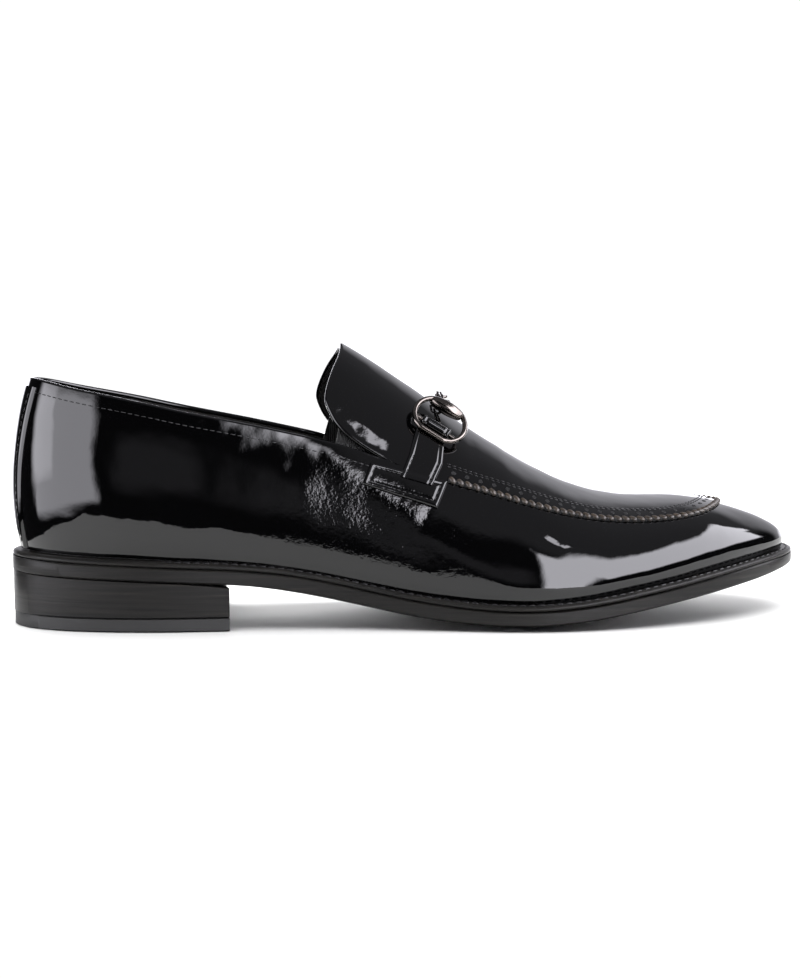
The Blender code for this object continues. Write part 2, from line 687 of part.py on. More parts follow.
def make_ring(name, side, finish):
    """A ring of round wire with a flat bar and an inner bar, open at the top where the barrel sits."""
    centre, along, up, out = bit_frame(side)
    gap_angle = math.asin((BARREL_LENGTH / 2 + GAP + RING_WIRE) / RING_RADIUS)
    bar_angle = math.acos(BAR_DROP / RING_RADIUS)
    angles = np.concatenate(
        [
            np.linspace(math.pi / 2 - gap_angle, -math.pi / 2 + bar_angle, 13),
            np.linspace(-math.pi / 2 - bar_angle, -3 * math.pi / 2 + gap_angle, 13),
        ]
    )
    path = [centre + (along * math.cos(t) + up * math.sin(t)) * RING_RADIUS for t in angles]
    ring = swept(name, tube_loops(path, RING_WIRE, 6, out), finish)
    reach = math.sqrt(RING_RADIUS**2 - INNER_BAR_DROP**2)
    ends = [centre - up * INNER_BAR_DROP + along * s * reach for s in (-1, 1)]
    bar = swept(name + "_bar", tube_loops(ends, INNER_BAR_WIRE, 6, out), None)
    return boolean(ring, bar, "UNION")


def make_barrel(name, side, finish):
    """The olive-shaped sleeve at the top of a ring, with an eye for the chain."""
    centre, along, up, out = bit_frame(side)
    middle = centre + up * BARREL_RISE
    shares = np.linspace(-1, 1, 9)
    radii = BARREL_END_RADIUS + (BARREL_RADIUS - BARREL_END_RADIUS) * np.cos(shares * math.pi / 2) ** 0.8
    path = [middle + along * s * BARREL_LENGTH / 2 for s in shares]
    return swept(name, tube_loops(path, np.column_stack([radii, radii]), 10, out), finish), middle, up, out


def oval_path(centre, long_way, wide_way, length, width, count=18):
    """A link's centreline: two half circles joined by straight sides."""
    radius = width / 2 - LINK_WIRE
    straight = length / 2 - width / 2
    path = []
    for k in range(count):
        t = 2 * math.pi * k / count
        shift = straight * (1 if math.cos(t) > 1e-9 else -1 if math.cos(t) < -1e-9 else 0)
        path.append(centre + long_way * (radius * math.cos(t) + shift) + wide_way * radius * math.sin(t))
    return np.array(path)


def make_bit(metal):
    """Two rings with barrels, joined over the instep by a short chain."""
    ends = {}
    for side, word in ((-1, "lateral"), (1, "medial")):
        make_ring("bit_ring_" + word, side, metal)
        _, middle, up, out = make_barrel("bit_barrel_" + word, side, metal)
        ends[side] = middle
    chain(ends[-1], ends[1], metal)


def chain(start, end, metal):
    """Links laid over the crown of the instep, each turned a quarter turn from its neighbour."""
    run = np.linspace(0, 1, 40)[:, None]
    path = start + (end - start) * run
    level = np.array([seat(x, y, LINK_REST)[0] for x, y in path[:, :2]])
    settled = np.clip(8 * np.minimum(run[:, 0], 1 - run[:, 0]), 0, 1)
    path[:, 2] += (level - path[:, 2]) * settled
    length = np.concatenate([[0], np.cumsum(np.linalg.norm(np.diff(path, axis=0), axis=1))])
    free = length[-1] - 2 * (BARREL_RADIUS + GAP)
    pitch = (free - 4 * LINK_WIRE - 2 * GAP) / LINKS
    link = pitch + 4 * LINK_WIRE + 2 * GAP
    first = BARREL_RADIUS + GAP + link / 2

    def on_path(at):
        return np.array([np.interp(at, length, path[:, k]) for k in range(3)])

    for k in range(LINKS):
        at = first + k * pitch
        place = on_path(at)
        way = on_path(at + pitch / 2) - on_path(at - pitch / 2)
        way /= np.linalg.norm(way)
        _, normal = seat(place[0], place[1], LINK_REST)
        side_way = np.cross(normal, way)
        side_way /= np.linalg.norm(side_way)
        turned = math.radians(45 if k % 2 else -45)
        wide = side_way * math.cos(turned) + normal * math.sin(turned)
        loop = oval_path(place, way, wide, link, LINK_WIDTH)
        up = np.cross(way, wide)
        swept("bit_link_%d" % (k + 1), tube_loops(loop, LINK_WIRE, 6, up, closed=True), metal, closed=True)


def make_braid(finish):
    """The raised, roped edge of the apron, from strap to strap round the toe."""
    start = math.acos(1 - 2 * BRAID_START)
    turns = np.linspace(start, 2 * math.pi - start, 61)
    angles = apron_angle(turns)
    small = 0.01
    run = np.linalg.norm(last_point(turns, angles + small) - last_point(turns, angles), axis=-1) / small
    angles = angles - BRAID_OUTSET / run
    points, normals = last_point(turns, angles), last_normal(turns, angles)
    path = points + normals * (GAP + BRAID_HEIGHT / 2)
    return swept("apron_braid", tube_loops(path, (BRAID_WIDTH / 2, BRAID_HEIGHT / 2), 6, normals), finish)


def settle():
    """Moves everything so that the origin is the centre of the bottom of the whole box."""
    shoe = [o for o in bpy.context.scene.objects if o.type == "MESH"]
    corners = np.array([v.co for o in shoe for v in o.data.vertices])
    low, high = corners.min(0), corners.max(0)
    shift = Vector((-(low[0] + high[0]) / 2, -(low[1] + high[1]) / 2, -low[2]))
    for o in shoe:
        o.location = shift


def main():
    for old in list(bpy.data.objects):
        bpy.data.objects.remove(old)
    patent = material("patent_leather", (0.012, 0.012, 0.014), 0.08)
    edge = material("sole_leather", (0.03, 0.03, 0.032), 0.45)
    rubber = material("heel_rubber", (0.02, 0.02, 0.02), 0.6)
    elastic = material("elastic", (0.01, 0.01, 0.01), 0.9)
    lining = material("lining_leather", (0.03, 0.028, 0.027), 0.6)
    braid = material("braid_leather", (0.11, 0.085, 0.065), 0.35)
    metal = material("gunmetal", (0.30, 0.28, 0.26), 0.2, 1.0)
    make_upper(patent)
    make_sole(edge, rubber)
    make_insole(lining)
    make_backstay(patent)
    make_braid(braid)
    for side, word in ((-1, "lateral"), (1, "medial")):
        make_gore("gore_" + word, side, elastic)
        make_strap("strap_" + word, side, patent)
    make_bit(metal)
    settle()


main()
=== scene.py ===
"""The look of a right-foot bit loafer in black patent leather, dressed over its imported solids.

Metres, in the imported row's frame: +X towards the toe, +Y towards the inner side, +Z up. The surfaces are
worked out from the same last as the solids, in a frame whose zero is the back of the sole, and are then
moved by SHIFT.
"""

import math

import bmesh
import bpy
import numpy as np
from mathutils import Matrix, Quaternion, Vector


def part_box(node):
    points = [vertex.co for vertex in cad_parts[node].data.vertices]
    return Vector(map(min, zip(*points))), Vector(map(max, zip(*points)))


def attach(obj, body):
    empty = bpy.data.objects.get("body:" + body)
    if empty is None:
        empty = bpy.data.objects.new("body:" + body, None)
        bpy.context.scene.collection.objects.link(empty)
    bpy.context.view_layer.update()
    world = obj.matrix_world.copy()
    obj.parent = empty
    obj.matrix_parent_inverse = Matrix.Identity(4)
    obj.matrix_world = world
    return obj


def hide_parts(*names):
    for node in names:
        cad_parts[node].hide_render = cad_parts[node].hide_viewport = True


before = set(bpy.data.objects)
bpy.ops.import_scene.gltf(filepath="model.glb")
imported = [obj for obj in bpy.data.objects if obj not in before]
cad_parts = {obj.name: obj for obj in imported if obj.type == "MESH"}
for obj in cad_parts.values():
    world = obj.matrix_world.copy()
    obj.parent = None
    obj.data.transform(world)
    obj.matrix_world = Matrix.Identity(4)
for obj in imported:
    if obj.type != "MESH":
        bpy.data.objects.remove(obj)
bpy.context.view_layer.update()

# Sizes of the last and the sole
LENGTH = 0.302
BALL_WIDTH = 0.1025
INSTEP_HEIGHT = 0.1025
BACK_HEIGHT = 0.0908
HEEL_HEIGHT = 0.0205
TOE_SPRING = 0.0160
OUTSOLE = 0.0052
CAMBER = 0.0025
WELT = 0.0018
WELT_LEDGE = 0.0040
WAIST_LEDGE = 0.0028
WELT_WIDTH = 0.0090
TOP_LIFT = 0.0050
HEEL_LENGTH = 0.0800
HEEL_TAPER = 0.0004
BREAST_HOLLOW = 0.0045
INSOLE = 0.0025
WALL = 0.0020
GAP = 0.0003
APRON_STEP = 0.0008
BACKSTAY = 0.0009
BACKSTAY_HALF_TOP = 0.0130
BACKSTAY_HALF_BOTTOM = 0.0095
GORE = 0.0012
STRAP = 0.0012
TAB = 0.0016
RING_RADIUS = 0.0101
RING_WIRE = 0.0010
BAR_DROP = 0.0081
INNER_BAR_DROP = 0.0046
INNER_BAR_WIRE = 0.0008
EYE_WIDTH = 0.82
BARREL_RISE = 0.0072
BARREL_LENGTH = 0.0128
BARREL_RADIUS = 0.0027
BARREL_END_RADIUS = 0.0016
LINKS = 5
LINK_WIDTH = 0.0056
LINK_WIRE = 0.0006
LINK_REST = 0.0030
BAR_LIFT = RING_WIRE + GAP + STRAP + 2 * GAP
BACKSTAY_FOOT = 0.012
BACKSTAY_DROP = 0.0026
BRAID_OUTSET = 0.0009
LACING_START = 0.530
STEP_START = 0.570
STEP_RUN = 0.040
WAIST_MIDDLE = 0.36
WAIST_REACH = 0.14

# Sizes of the finish
EDGE_ROLL = 0.00102  # radius of the folded leather edge at collar and tongue
LEATHER_SHARE = 0.55  # of the wall's thickness
LINING_START = 0.56
FOOT_ANGLE = 0.004  # of the wall's foot over the welt
THREAD = 0.00020  # radius of a stitch
THICK_THREAD = 0.00022
STITCH_FILL = 0.72  # share of the pitch that a stitch takes
LIFT_SEAM = 0.00004  # half the line between the heel's block and its rubber
WELT_FACE = 0.0021  # of the welt's top over the outsole
BEAD_PITCH = 0.00305  # of the lacing round the apron
BEAD_LENGTH = 0.0034
BEAD_RADIUS = 0.00100
BEAD_LIFT = 0.00075  # of a bead's middle over the vamp
HOLE_PITCH = 0.0052
HOLE_RADIUS = 0.00072
HOLE_INSET = 0.0030  # of the row of holes from the apron's seam
APRON_STITCH_INSETS = (("first", 0.0052), ("second", 0.0063))
APRON_STITCH_PITCH = 0.0021
TOPLINE_STITCH_DROP = 0.0042
TOPLINE_STITCH_PITCH = 0.0025
BACKSTAY_STITCH_PITCH = 0.0026
STRAP_STITCH_PITCH = 0.0019
WELT_STITCH_PITCH = 0.0034
STEP = 1e-4  # for slopes
SHOULDER_FOOT = 0.018  # height where the vamp starts to fill out
SHOULDER_RISE = 0.020
SHOULDER_SLOPE = 0.23
SHOULDER_START = 0.015  # towards the toe from the row's zero
SHOULDER_FADE = 0.03

LAST = [
    # share, full, centre, power, bulge
    (0.000, 0.488, 0.000, 3.00, 0.030),
    (0.080, 0.428, -0.001, 2.95, 0.036),
    (0.140, 0.400, -0.002, 2.80, 0.037),
    (0.250, 0.342, -0.012, 2.50, 0.031),
    (0.350, 0.316, -0.029, 2.20, 0.027),
    (0.450, 0.328, -0.045, 2.05, 0.024),
    (0.550, 0.385, -0.051, 2.02, 0.022),
    (0.640, 0.457, -0.043, 2.05, 0.020),
    (0.720, 0.503, -0.021, 2.15, 0.018),
    (0.800, 0.520, -0.004, 2.35, 0.015),
    (0.880, 0.516, 0.008, 2.65, 0.012),
    (0.950, 0.500, 0.017, 3.20, 0.009),
    (1.000, 0.486, 0.020, 3.80, 0.007),
]
RIDGE = [
    # share, height, side
    (0.000, 1.130, 0.000),
    (0.130, 1.140, 0.000),
    (0.250, 1.130, 0.010),
    (0.340, 1.085, 0.024),
    (0.414, 1.008, 0.034),
    (0.461, 0.923, 0.040),
    (0.512, 0.822, 0.043),
    (0.564, 0.712, 0.045),
    (0.616, 0.607, 0.045),
    (0.668, 0.522, 0.044),
    (0.721, 0.460, 0.042),
    (0.775, 0.430, 0.039),
    (0.854, 0.419, 0.034),
    (0.905, 0.395, 0.030),
    (0.945, 0.369, 0.026),
    (1.000, 0.330, 0.020),
]
TREAD = [
    # share, heel, spring, camber, thick
    (0.000, 1.000, 0.000, 0.00, 1.00),
    (0.095, 0.940, 0.000, 0.00, 1.00),
    (0.160, 0.900, 0.000, 0.00, 1.00),
    (0.220, 0.850, 0.000, 0.05, 1.00),
    (0.270, 0.770, 0.000, 0.40, 1.00),
    (0.331, 0.620, 0.000, 0.85, 1.00),
    (0.408, 0.390, 0.000, 1.00, 1.00),
    (0.470, 0.190, 0.000, 1.00, 1.00),
    (0.530, 0.052, 0.000, 1.00, 1.00),
    (0.580, -0.012, 0.000, 1.00, 1.00),
    (0.640, -0.014, 0.000, 1.00, 1.00),
    (0.703, 0.000, 0.085, 1.00, 1.00),
    (0.757, 0.000, 0.235, 1.00, 1.00),
    (0.821, 0.000, 0.425, 1.00, 1.00),
    (0.887, 0.000, 0.620, 1.00, 1.00),
    (0.946, 0.000, 0.800, 1.00, 0.88),
    (1.000, 0.000, 0.985, 1.00, 0.56),
]
APRON = [
    # share, out
    (0.400, 0.853),
    (0.470, 0.823),
    (0.530, 0.788),
    (0.570, 0.760),
    (0.620, 0.729),
    (0.670, 0.709),
    (0.720, 0.697),
    (0.775, 0.701),
    (0.830, 0.717),
    (0.900, 0.690),
    (0.950, 0.580),
    (0.970, 0.515),
    (1.000, 0.393),
]
TOPLINE = [
    # along, rise
    (0.000, 1.006),
    (0.025, 1.000),
    (0.067, 0.917),
    (0.114, 0.821),
    (0.162, 0.726),
    (0.209, 0.624),
    (0.256, 0.531),
    (0.303, 0.439),
    (0.351, 0.337),
    (0.399, 0.223),
    (0.436, 0.107),
    (0.468, 0.000),
]
TONGUE = [
    # along, height
    (0.463, 0.590),
    (0.449, 0.615),
    (0.425, 0.660),
    (0.401, 0.722),
    (0.390, 0.780),
    (0.388, 0.835),
    (0.400, 0.925),
    (0.411, 0.985),
    (0.420, 1.080),
]
TAB_CORNERS = [(0.424, 0.514), (0.5135, 0.427), (0.5285, 0.516), (0.4355, 0.588)]
STRAP_CORNERS = [(0.4700, 0.535), (0.5090, 0.500), (0.5270, 0.590), (0.4870, 0.634)]
GORE_CORNERS = [(0.386, 0.560), (0.458, 0.520), (0.462, 0.585), (0.402, 0.735)]
BIT_ALONG = 0.5110
BIT_HEIGHT = 0.6680
INNER_DROP = 0.035
BAR_SLOPE = math.radians(-32)
HEEL_SPINE = 0.113
TOE_SPINE = 0.147
SPINE_FADE = 0.16
THROAT = 0.468
THROAT_HEIGHT = 0.580

# Creases of the vamp and quarters. along and height: of LENGTH and INSTEP_HEIGHT. run and wide: half-lengths
# in metres. turn: of the crease's own line from the horizontal, in degrees. rise: in metres, negative for a
# trough. side: -1 for the outer and 1 for the inner one.
CREASES = [
    # along, height, run, wide, turn, rise, side
    (0.470, 0.430, 0.030, 0.0050, -36, 0.0004, -1),
    (0.440, 0.380, 0.026, 0.0045, -34, -0.0003, -1),
    (0.555, 0.250, 0.028, 0.0060, -40, 0.0004, -1),
    (0.530, 0.330, 0.016, 0.0035, -30, -0.0003, -1),
    (0.350, 0.480, 0.012, 0.0030, 75, 0.0001, -1),
    (0.380, 0.470, 0.012, 0.0028, 82, -0.0001, -1),
    (0.405, 0.455, 0.010, 0.0026, 95, 0.0001, -1),
    (0.430, 0.475, 0.010, 0.0024, 100, -0.0001, -1),
    (0.500, 0.390, 0.007, 0.0022, 60, -0.0004, -1),
    (0.475, 0.400, 0.024, 0.0050, -36, 0.0006, 1),
    (0.450, 0.340, 0.024, 0.0045, -34, -0.0005, 1),
    (0.560, 0.240, 0.026, 0.0060, -38, 0.0005, 1),
    (0.390, 0.450, 0.012, 0.0030, 85, -0.0003, 1),
    (0.420, 0.460, 0.011, 0.0028, 95, 0.0003, 1),
]

# Crinkles of the coat alone. radius: of the patch, in metres. scale: of the noise. depth: in metres.
CRINKLES = [
    # along, height, side, radius, scale, depth
    (0.402, 0.445, -1, 0.023, 600, 0.00024),
    (0.345, 0.395, -1, 0.022, 500, 0.00008),
    (0.465, 0.350, -1, 0.026, 450, 0.00020),
    (0.545, 0.270, -1, 0.022, 420, 0.00014),
    (0.390, 0.450, 1, 0.026, 650, 0.00014),
    (0.520, 0.340, 1, 0.024, 420, 0.00010),
]


def table(rows, column):
    """A natural cubic spline through one column of a table, over its first."""
    x = np.array([row[0] for row in rows])
    y = np.array([row[column] for row in rows])
    step = np.diff(x)
    matrix = np.eye(len(x))
    right = np.zeros(len(x))
    for i in range(1, len(x) - 1):
        matrix[i, i - 1 : i + 2] = step[i - 1], 2 * (step[i - 1] + step[i]), step[i]
        right[i] = 6 * ((y[i + 1] - y[i]) / step[i] - (y[i] - y[i - 1]) / step[i - 1])
    bend = np.linalg.solve(matrix, right)

    def value(at):
        at = np.clip(np.asarray(at, float), x[0], x[-1])
        i = np.clip(np.searchsorted(x, at) - 1, 0, len(x) - 2)
        back, on = at - x[i], x[i + 1] - at
        cubic = (bend[i] * on**3 + bend[i + 1] * back**3) / (6 * step[i])
        start = y[i] / step[i] - bend[i] * step[i] / 6
        end = y[i + 1] / step[i] - bend[i + 1] * step[i] / 6
        return cubic + start * on + end * back

    return value


FULL, CENTRE, POWER, BULGE = (table(LAST, k) for k in (1, 2, 3, 4))
RIDGE_HEIGHT, RIDGE_SIDE = table(RIDGE, 1), table(RIDGE, 2)
TREAD_HEEL, TREAD_SPRING, TREAD_CAMBER, TREAD_THICK = (table(TREAD, k) for k in (1, 2, 3, 4))
APRON_OUT = table(APRON, 1)
TOPLINE_RISE = table(TOPLINE, 1)
TONGUE_ORDER = np.linspace(0, 1, len(TONGUE))
TONGUE_ALONG = table([(s, row[0]) for s, row in zip(TONGUE_ORDER, TONGUE)], 1)
TONGUE_HEIGHT = table([(s, row[1]) for s, row in zip(TONGUE_ORDER, TONGUE)], 1)
FEATHER_START = WELT_LEDGE
FEATHER_LENGTH = LENGTH - 2 * WELT_LEDGE


# The last, as in the solids

def unit(vectors):
    return vectors / np.linalg.norm(vectors, axis=-1, keepdims=True)


def share_at(turn):
    return (1 - np.cos(turn)) / 2


def share_of(x):
    return (x - FEATHER_START) / FEATHER_LENGTH


def turn_of(share):
    return math.acos(1 - 2 * share)


def tread(x):
    share = x / LENGTH
    return HEEL_HEIGHT * TREAD_HEEL(share) + TOE_SPRING * TREAD_SPRING(share)


def sole_top(x):
    share = x / LENGTH
    return tread(x) + CAMBER * TREAD_CAMBER(share) + OUTSOLE * TREAD_THICK(share)


def feather(x):
    return sole_top(x) + GAP + WELT + GAP


def ridge(x):
    return INSTEP_HEIGHT * RIDGE_HEIGHT(x / LENGTH)


def ridge_side(x):
    return BALL_WIDTH * RIDGE_SIDE(x / LENGTH)


def topline(x):
    """Height of the quarters' upper edge."""
    throat = INSTEP_HEIGHT * THROAT_HEIGHT
    return throat + (BACK_HEIGHT - throat) * TOPLINE_RISE(x / LENGTH)


def plan(turn):
    """The feather line seen from above. turn: 0 at the back, by the outer side to pi at the toe, and on."""
    share = share_at(turn)
    x = FEATHER_START + FEATHER_LENGTH * share
    return share, x, BALL_WIDTH * CENTRE(share), BALL_WIDTH * FULL(share) * np.sin(turn)


def swell(up):
    return 6.75 * up * (1 - up) ** 2


def last_point(turn, angle):
    """A point of the last. angle: from 0 at the welt to a quarter turn at the spine."""
    share, x, middle, half = plan(turn)
    power = POWER(share)
    at_heel = HEEL_SPINE * np.exp(-((share / SPINE_FADE) ** 2))
    at_toe = TOE_SPINE * np.exp(-(((1 - share) / SPINE_FADE) ** 2))
    spine = x + FEATHER_LENGTH * (at_heel - at_toe)
    out, up = np.abs(np.cos(angle)), np.abs(np.sin(angle))
    size = (out**power + up**power) ** (1 / power)
    out, up = out / size, up / size
    reach = np.hypot(x - spine, half)
    out = out + BALL_WIDTH * BULGE(share) * swell(up) / reach
    px = spine + (x - spine) * out
    py = middle - half * out + (ridge_side(spine) - middle) * up**2
    foot = feather(px)
    return np.stack([px, py, foot + (ridge(px) - foot) * up], -1)


def last_normal(turn, angle):
    angle = np.clip(angle, STEP, math.pi / 2 - STEP)
    along = last_point(turn + STEP, angle) - last_point(turn - STEP, angle)
    rise = last_point(turn, angle + STEP) - last_point(turn, angle - STEP)
    return unit(np.cross(along, rise))


def apron_angle(turn):
    share = share_at(turn)
    power = POWER(share)
    out = APRON_OUT(np.maximum(share, APRON[0][0]))
    return np.arctan2((1 - out**power) ** (1 / power), out)


def up_and_out(x, z):
    """Shares of the last's height and half-width at a place of the side view."""
    foot, power = feather(x), POWER(share_of(x))
    up = np.clip((z - foot) / (ridge(x) - foot), 0, 1)
    return up, (1 - up**power) ** (1 / power)


def side_place(x, z):
    """The angle on the last of a place in the side view, where the meridians run straight across."""
    return np.arctan2(*up_and_out(x, z))


def side_point(x, z, side, lift=0.0):
    """A point of the waist's and instep's wall by its place in the side view, lifted off the leather."""

    def on_wall(x, z):
        share = share_of(x)
        up, out = up_and_out(x, z)
        half = BALL_WIDTH * FULL(share) * 2 * np.sqrt(share * (1 - share))
        away = out * half + BALL_WIDTH * BULGE(share) * swell(up)
        middle = BALL_WIDTH * CENTRE(share)
        return np.stack([x, middle + side * away + (ridge_side(x) - middle) * up**2, z], -1)

    x, z = np.broadcast_arrays(np.asarray(x, float), np.asarray(z, float))
    along = on_wall(x + STEP, z) - on_wall(x - STEP, z)
    rise = on_wall(x, z + STEP) - on_wall(x, z - STEP)
    normal = unit(np.cross(along, rise) * -side)
    return on_wall(x, z) + normal * np.asarray(lift)[..., None], normal


def sole_line(turn, inset):
    """The edge of the sole seen from above, moved in by inset."""
    in_waist = np.exp(-(((share_at(turn) - WAIST_MIDDLE) / WAIST_REACH) ** 2))
    ledge = WELT_LEDGE + (WAIST_LEDGE - WELT_LEDGE) * in_waist

    def base(turn):
        _, x, middle, half = plan(turn)
        return np.stack([x, middle - half], -1)

    along = unit(base(turn + STEP) - base(turn - STEP))
    return base(turn) + np.stack([along[..., 1], -along[..., 0]], -1) * (ledge - inset)[..., None]


def find_shift():
    """From the shoe's own frame to the row's, by the outsole's box."""
    low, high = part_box("outsole")
    turns = np.linspace(0, 2 * math.pi, 2000)
    line = sole_line(turns, 0.0)
    across = (low[1] + high[1]) / 2 - (line[:, 1].min() + line[:, 1].max()) / 2
    return np.array([(low[0] + high[0]) / 2 - LENGTH / 2, across, 0.0])


SHIFT = find_shift()


def crease_rise(points):
    """How far the leather stands off the smooth last at points near its walls."""
    rise = np.zeros(points.shape[:-1])
    middle = ridge_side(points[..., 0])
    for along, height, run, wide, turn, peak, side in CREASES:
        dx = points[..., 0] - along * LENGTH
        dz = points[..., 2] - height * INSTEP_HEIGHT
        c, s = math.cos(math.radians(turn)), math.sin(math.radians(turn))
        far, off = dx * c + dz * s, -dx * s + dz * c
        near_side = 1 / (1 + np.exp(-side * (points[..., 1] - middle) / 0.004))
        rise += peak * near_side * np.exp(-((far / run) ** 2) - (off / wide) ** 2)
    return rise


# Meshes

def add(name, points, faces, finish, slot, smooth=50, body="root"):
    """A piece of the visible model, in the row's frame."""
    mesh = bpy.data.meshes.new(name)
    mesh.from_pydata([tuple(p) for p in np.asarray(points) + SHIFT], [], [tuple(f) for f in faces])
    body_mesh = bmesh.new()
    body_mesh.from_mesh(mesh)
    bmesh.ops.remove_doubles(body_mesh, verts=body_mesh.verts, dist=2e-6)
    bmesh.ops.recalc_face_normals(body_mesh, faces=body_mesh.faces)
    body_mesh.to_mesh(mesh)
    body_mesh.free()
    mesh.shade_smooth()
    mesh.set_sharp_from_angle(angle=math.radians(smooth))
    made = bpy.data.objects.new(name, mesh)
    bpy.context.scene.collection.objects.link(made)
    mesh.materials.append(finish)
    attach(made, body)
    return made


def grid_faces(rows, columns, first=0, closed=False):
    faces = []
    for r in range(rows - 1):
        for c in range(columns if closed else columns - 1):
            a, b = first + r * columns + c, first + r * columns + (c + 1) % columns
            faces.append((a, b, b + columns, a + columns))
    return faces


def slab_parts(outer, inner, folded=False):
    """Points and faces of a solid between two grids of points, closed round its rim.

    The first row of a folded one runs out and back along the same line, and needs no rim.
    """
    rows, columns = outer.shape[:2]
    count = rows * columns
    faces = grid_faces(rows, columns) + [f[::-1] for f in grid_faces(rows, columns, count)]
    rim = list(range(columns))
    rim += [r * columns + columns - 1 for r in range(1, rows)]
    rim += [(rows - 1) * columns + c for c in range(columns - 2, -1, -1)]
    rim += [r * columns for r in range(rows - 2, 0, -1)]
    for a, b in zip(rim, rim[1:] + rim[:1]):
        if not (folded and a < columns and b < columns):
            faces.append((b, a, a + count, b + count))
    return np.concatenate([outer.reshape(-1, 3), inner.reshape(-1, 3)]), faces


def hoop_parts(loops):
    """Points and faces of a ring swept through loops of points, joined end to start."""
    count, sides = loops.shape[:2]
    faces = grid_faces(count, sides, closed=True)
    last = (count - 1) * sides
    faces += [(last + c, last + (c + 1) % sides, (c + 1) % sides, c) for c in range(sides)]
    return loops.reshape(-1, 3), faces


def rod_parts(loops):
    """Points and faces of a rod swept through loops of points, capped at its ends."""
    count, sides = loops.shape[:2]
    faces = grid_faces(count, sides, closed=True)
    faces += [tuple(range(sides))[::-1], tuple(range((count - 1) * sides, count * sides))]
    return loops.reshape(-1, 3), faces


def joined(parts):
    """Several sets of points and faces as one."""
    points, faces, first = [], [], 0
    for some, their in parts:
        points.append(some)
        faces += [tuple(i + first for i in face) for face in their]
        first += len(some)
    return np.concatenate(points), faces


def tube_loops(path, radius, sides, up, closed=False):
    """Loops of points round a path. radius: one, or a pair across and up for each point."""
    path = np.asarray(path, float)
    ahead = np.roll(path, -1, 0) - np.roll(path, 1, 0) if closed else np.gradient(path, axis=0)
    ahead = unit(ahead)
    across = unit(np.cross(ahead, np.broadcast_to(np.asarray(up, float), path.shape)))
    over = np.cross(across, ahead)
    radius = np.broadcast_to(np.asarray(radius, float), (len(path), 2))
    angles = np.arange(sides) * 2 * math.pi / sides
    return (
        path[:, None]
        + across[:, None] * (radius[:, :1] * np.cos(angles))[..., None]
        + over[:, None] * (radius[:, 1:] * np.sin(angles))[..., None]
    )


def capsule_parts(centre, ahead, up, length, wide, high, rows=6, sides=8):
    """A bead with round ends, lying along ahead."""
    ahead = unit(ahead)
    across = unit(np.cross(ahead, up))
    up = np.cross(across, ahead)
    lat = np.linspace(-math.pi / 2, math.pi / 2, rows + 1)[1:-1]
    angles = np.arange(sides) * 2 * math.pi / sides
    ring = across * np.cos(angles)[:, None] * wide + up * np.sin(angles)[:, None] * high
    points = [centre - ahead * length / 2]
    for a in lat:
        points += list(centre + ahead * math.sin(a) * length / 2 + ring * math.cos(a) ** 0.7)
    points.append(centre + ahead * length / 2)
    faces = grid_faces(len(lat), sides, first=1, closed=True)
    end = len(points) - 1
    last = 1 + (len(lat) - 1) * sides
    faces += [(0, 1 + (c + 1) % sides, 1 + c) for c in range(sides)]
    faces += [(end, last + c, last + (c + 1) % sides) for c in range(sides)]
    return np.array(points), faces


def run_length(path):
    """The distance along a path of each of its points."""
    return np.concatenate([[0], np.cumsum(np.linalg.norm(np.diff(path, axis=0), axis=1))])


def even_places(path, pitch):
    """Distances about a pitch apart along a path, and those of its points."""
    length = run_length(path)
    count = int(length[-1] / pitch)
    return (np.arange(count) + 0.5) * length[-1] / count, length


def on_path(values, length, at):
    """Points or normals at distances along a path."""
    return np.stack([np.interp(at, length, values[:, k]) for k in range(3)], -1)


def stitches(name, path, normals, pitch, finish, slot, radius=THREAD):
    """A row of thread stitches along a path, each a small bead that dips into the leather at its ends."""
    at, length = even_places(path, pitch)
    centres, ups = on_path(path, length, at), on_path(normals, length, at)
    fore, aft = on_path(path, length, at + pitch / 4), on_path(path, length, at - pitch / 4)
    parts = []
    for c, u, way in zip(centres, ups, fore - aft):
        middle = c + u * radius * 0.3
        parts.append(capsule_parts(middle, way, u, pitch * STITCH_FILL, radius, radius, rows=5, sides=6))
    add(name, *joined(parts), finish, slot)


# Materials

def new_material(name, settings):
    """A material, its node tree, its shader and the object's coordinates. settings: the shader's values."""
    made = bpy.data.materials.new(name)
    made.use_nodes = True
    tree = made.node_tree
    shader = tree.nodes["Principled BSDF"]
    for socket, value in settings.items():
        shader.inputs[socket].default_value = value
    return made, tree, shader, tree.nodes.new("ShaderNodeTexCoord").outputs["Object"]


def noise(tree, where, scale, detail=3.0, roughness=0.5, stretch=None):
    texture = tree.nodes.new("ShaderNodeTexNoise")
    texture.inputs["Scale"].default_value = scale
    texture.inputs["Detail"].default_value = detail
    texture.inputs["Roughness"].default_value = roughness
    if stretch is not None:
        mapping = tree.nodes.new("ShaderNodeMapping")
        mapping.inputs["Scale"].default_value = stretch
        tree.links.new(where, mapping.inputs["Vector"])
        where = mapping.outputs["Vector"]
    tree.links.new(where, texture.inputs["Vector"])
    return texture.outputs["Fac"]


def bump(tree, height, distance, strength=1.0, base=None):
    made = tree.nodes.new("ShaderNodeBump")
    made.inputs["Distance"].default_value = distance
    made.inputs["Strength"].default_value = strength
    tree.links.new(height, made.inputs["Height"])
    if base is not None:
        tree.links.new(base, made.inputs["Normal"])
    return made.outputs["Normal"]


def ramp(tree, value, stops):
    made = tree.nodes.new("ShaderNodeValToRGB")
    marks = made.color_ramp.elements
    for mark, (position, colour) in zip(marks, (stops[0], stops[-1])):
        mark.position, mark.color = position, (*colour, 1)
    for position, colour in stops[1:-1]:
        marks.new(position).color = (*colour, 1)
    tree.links.new(value, made.inputs["Fac"])
    return made.outputs["Color"]


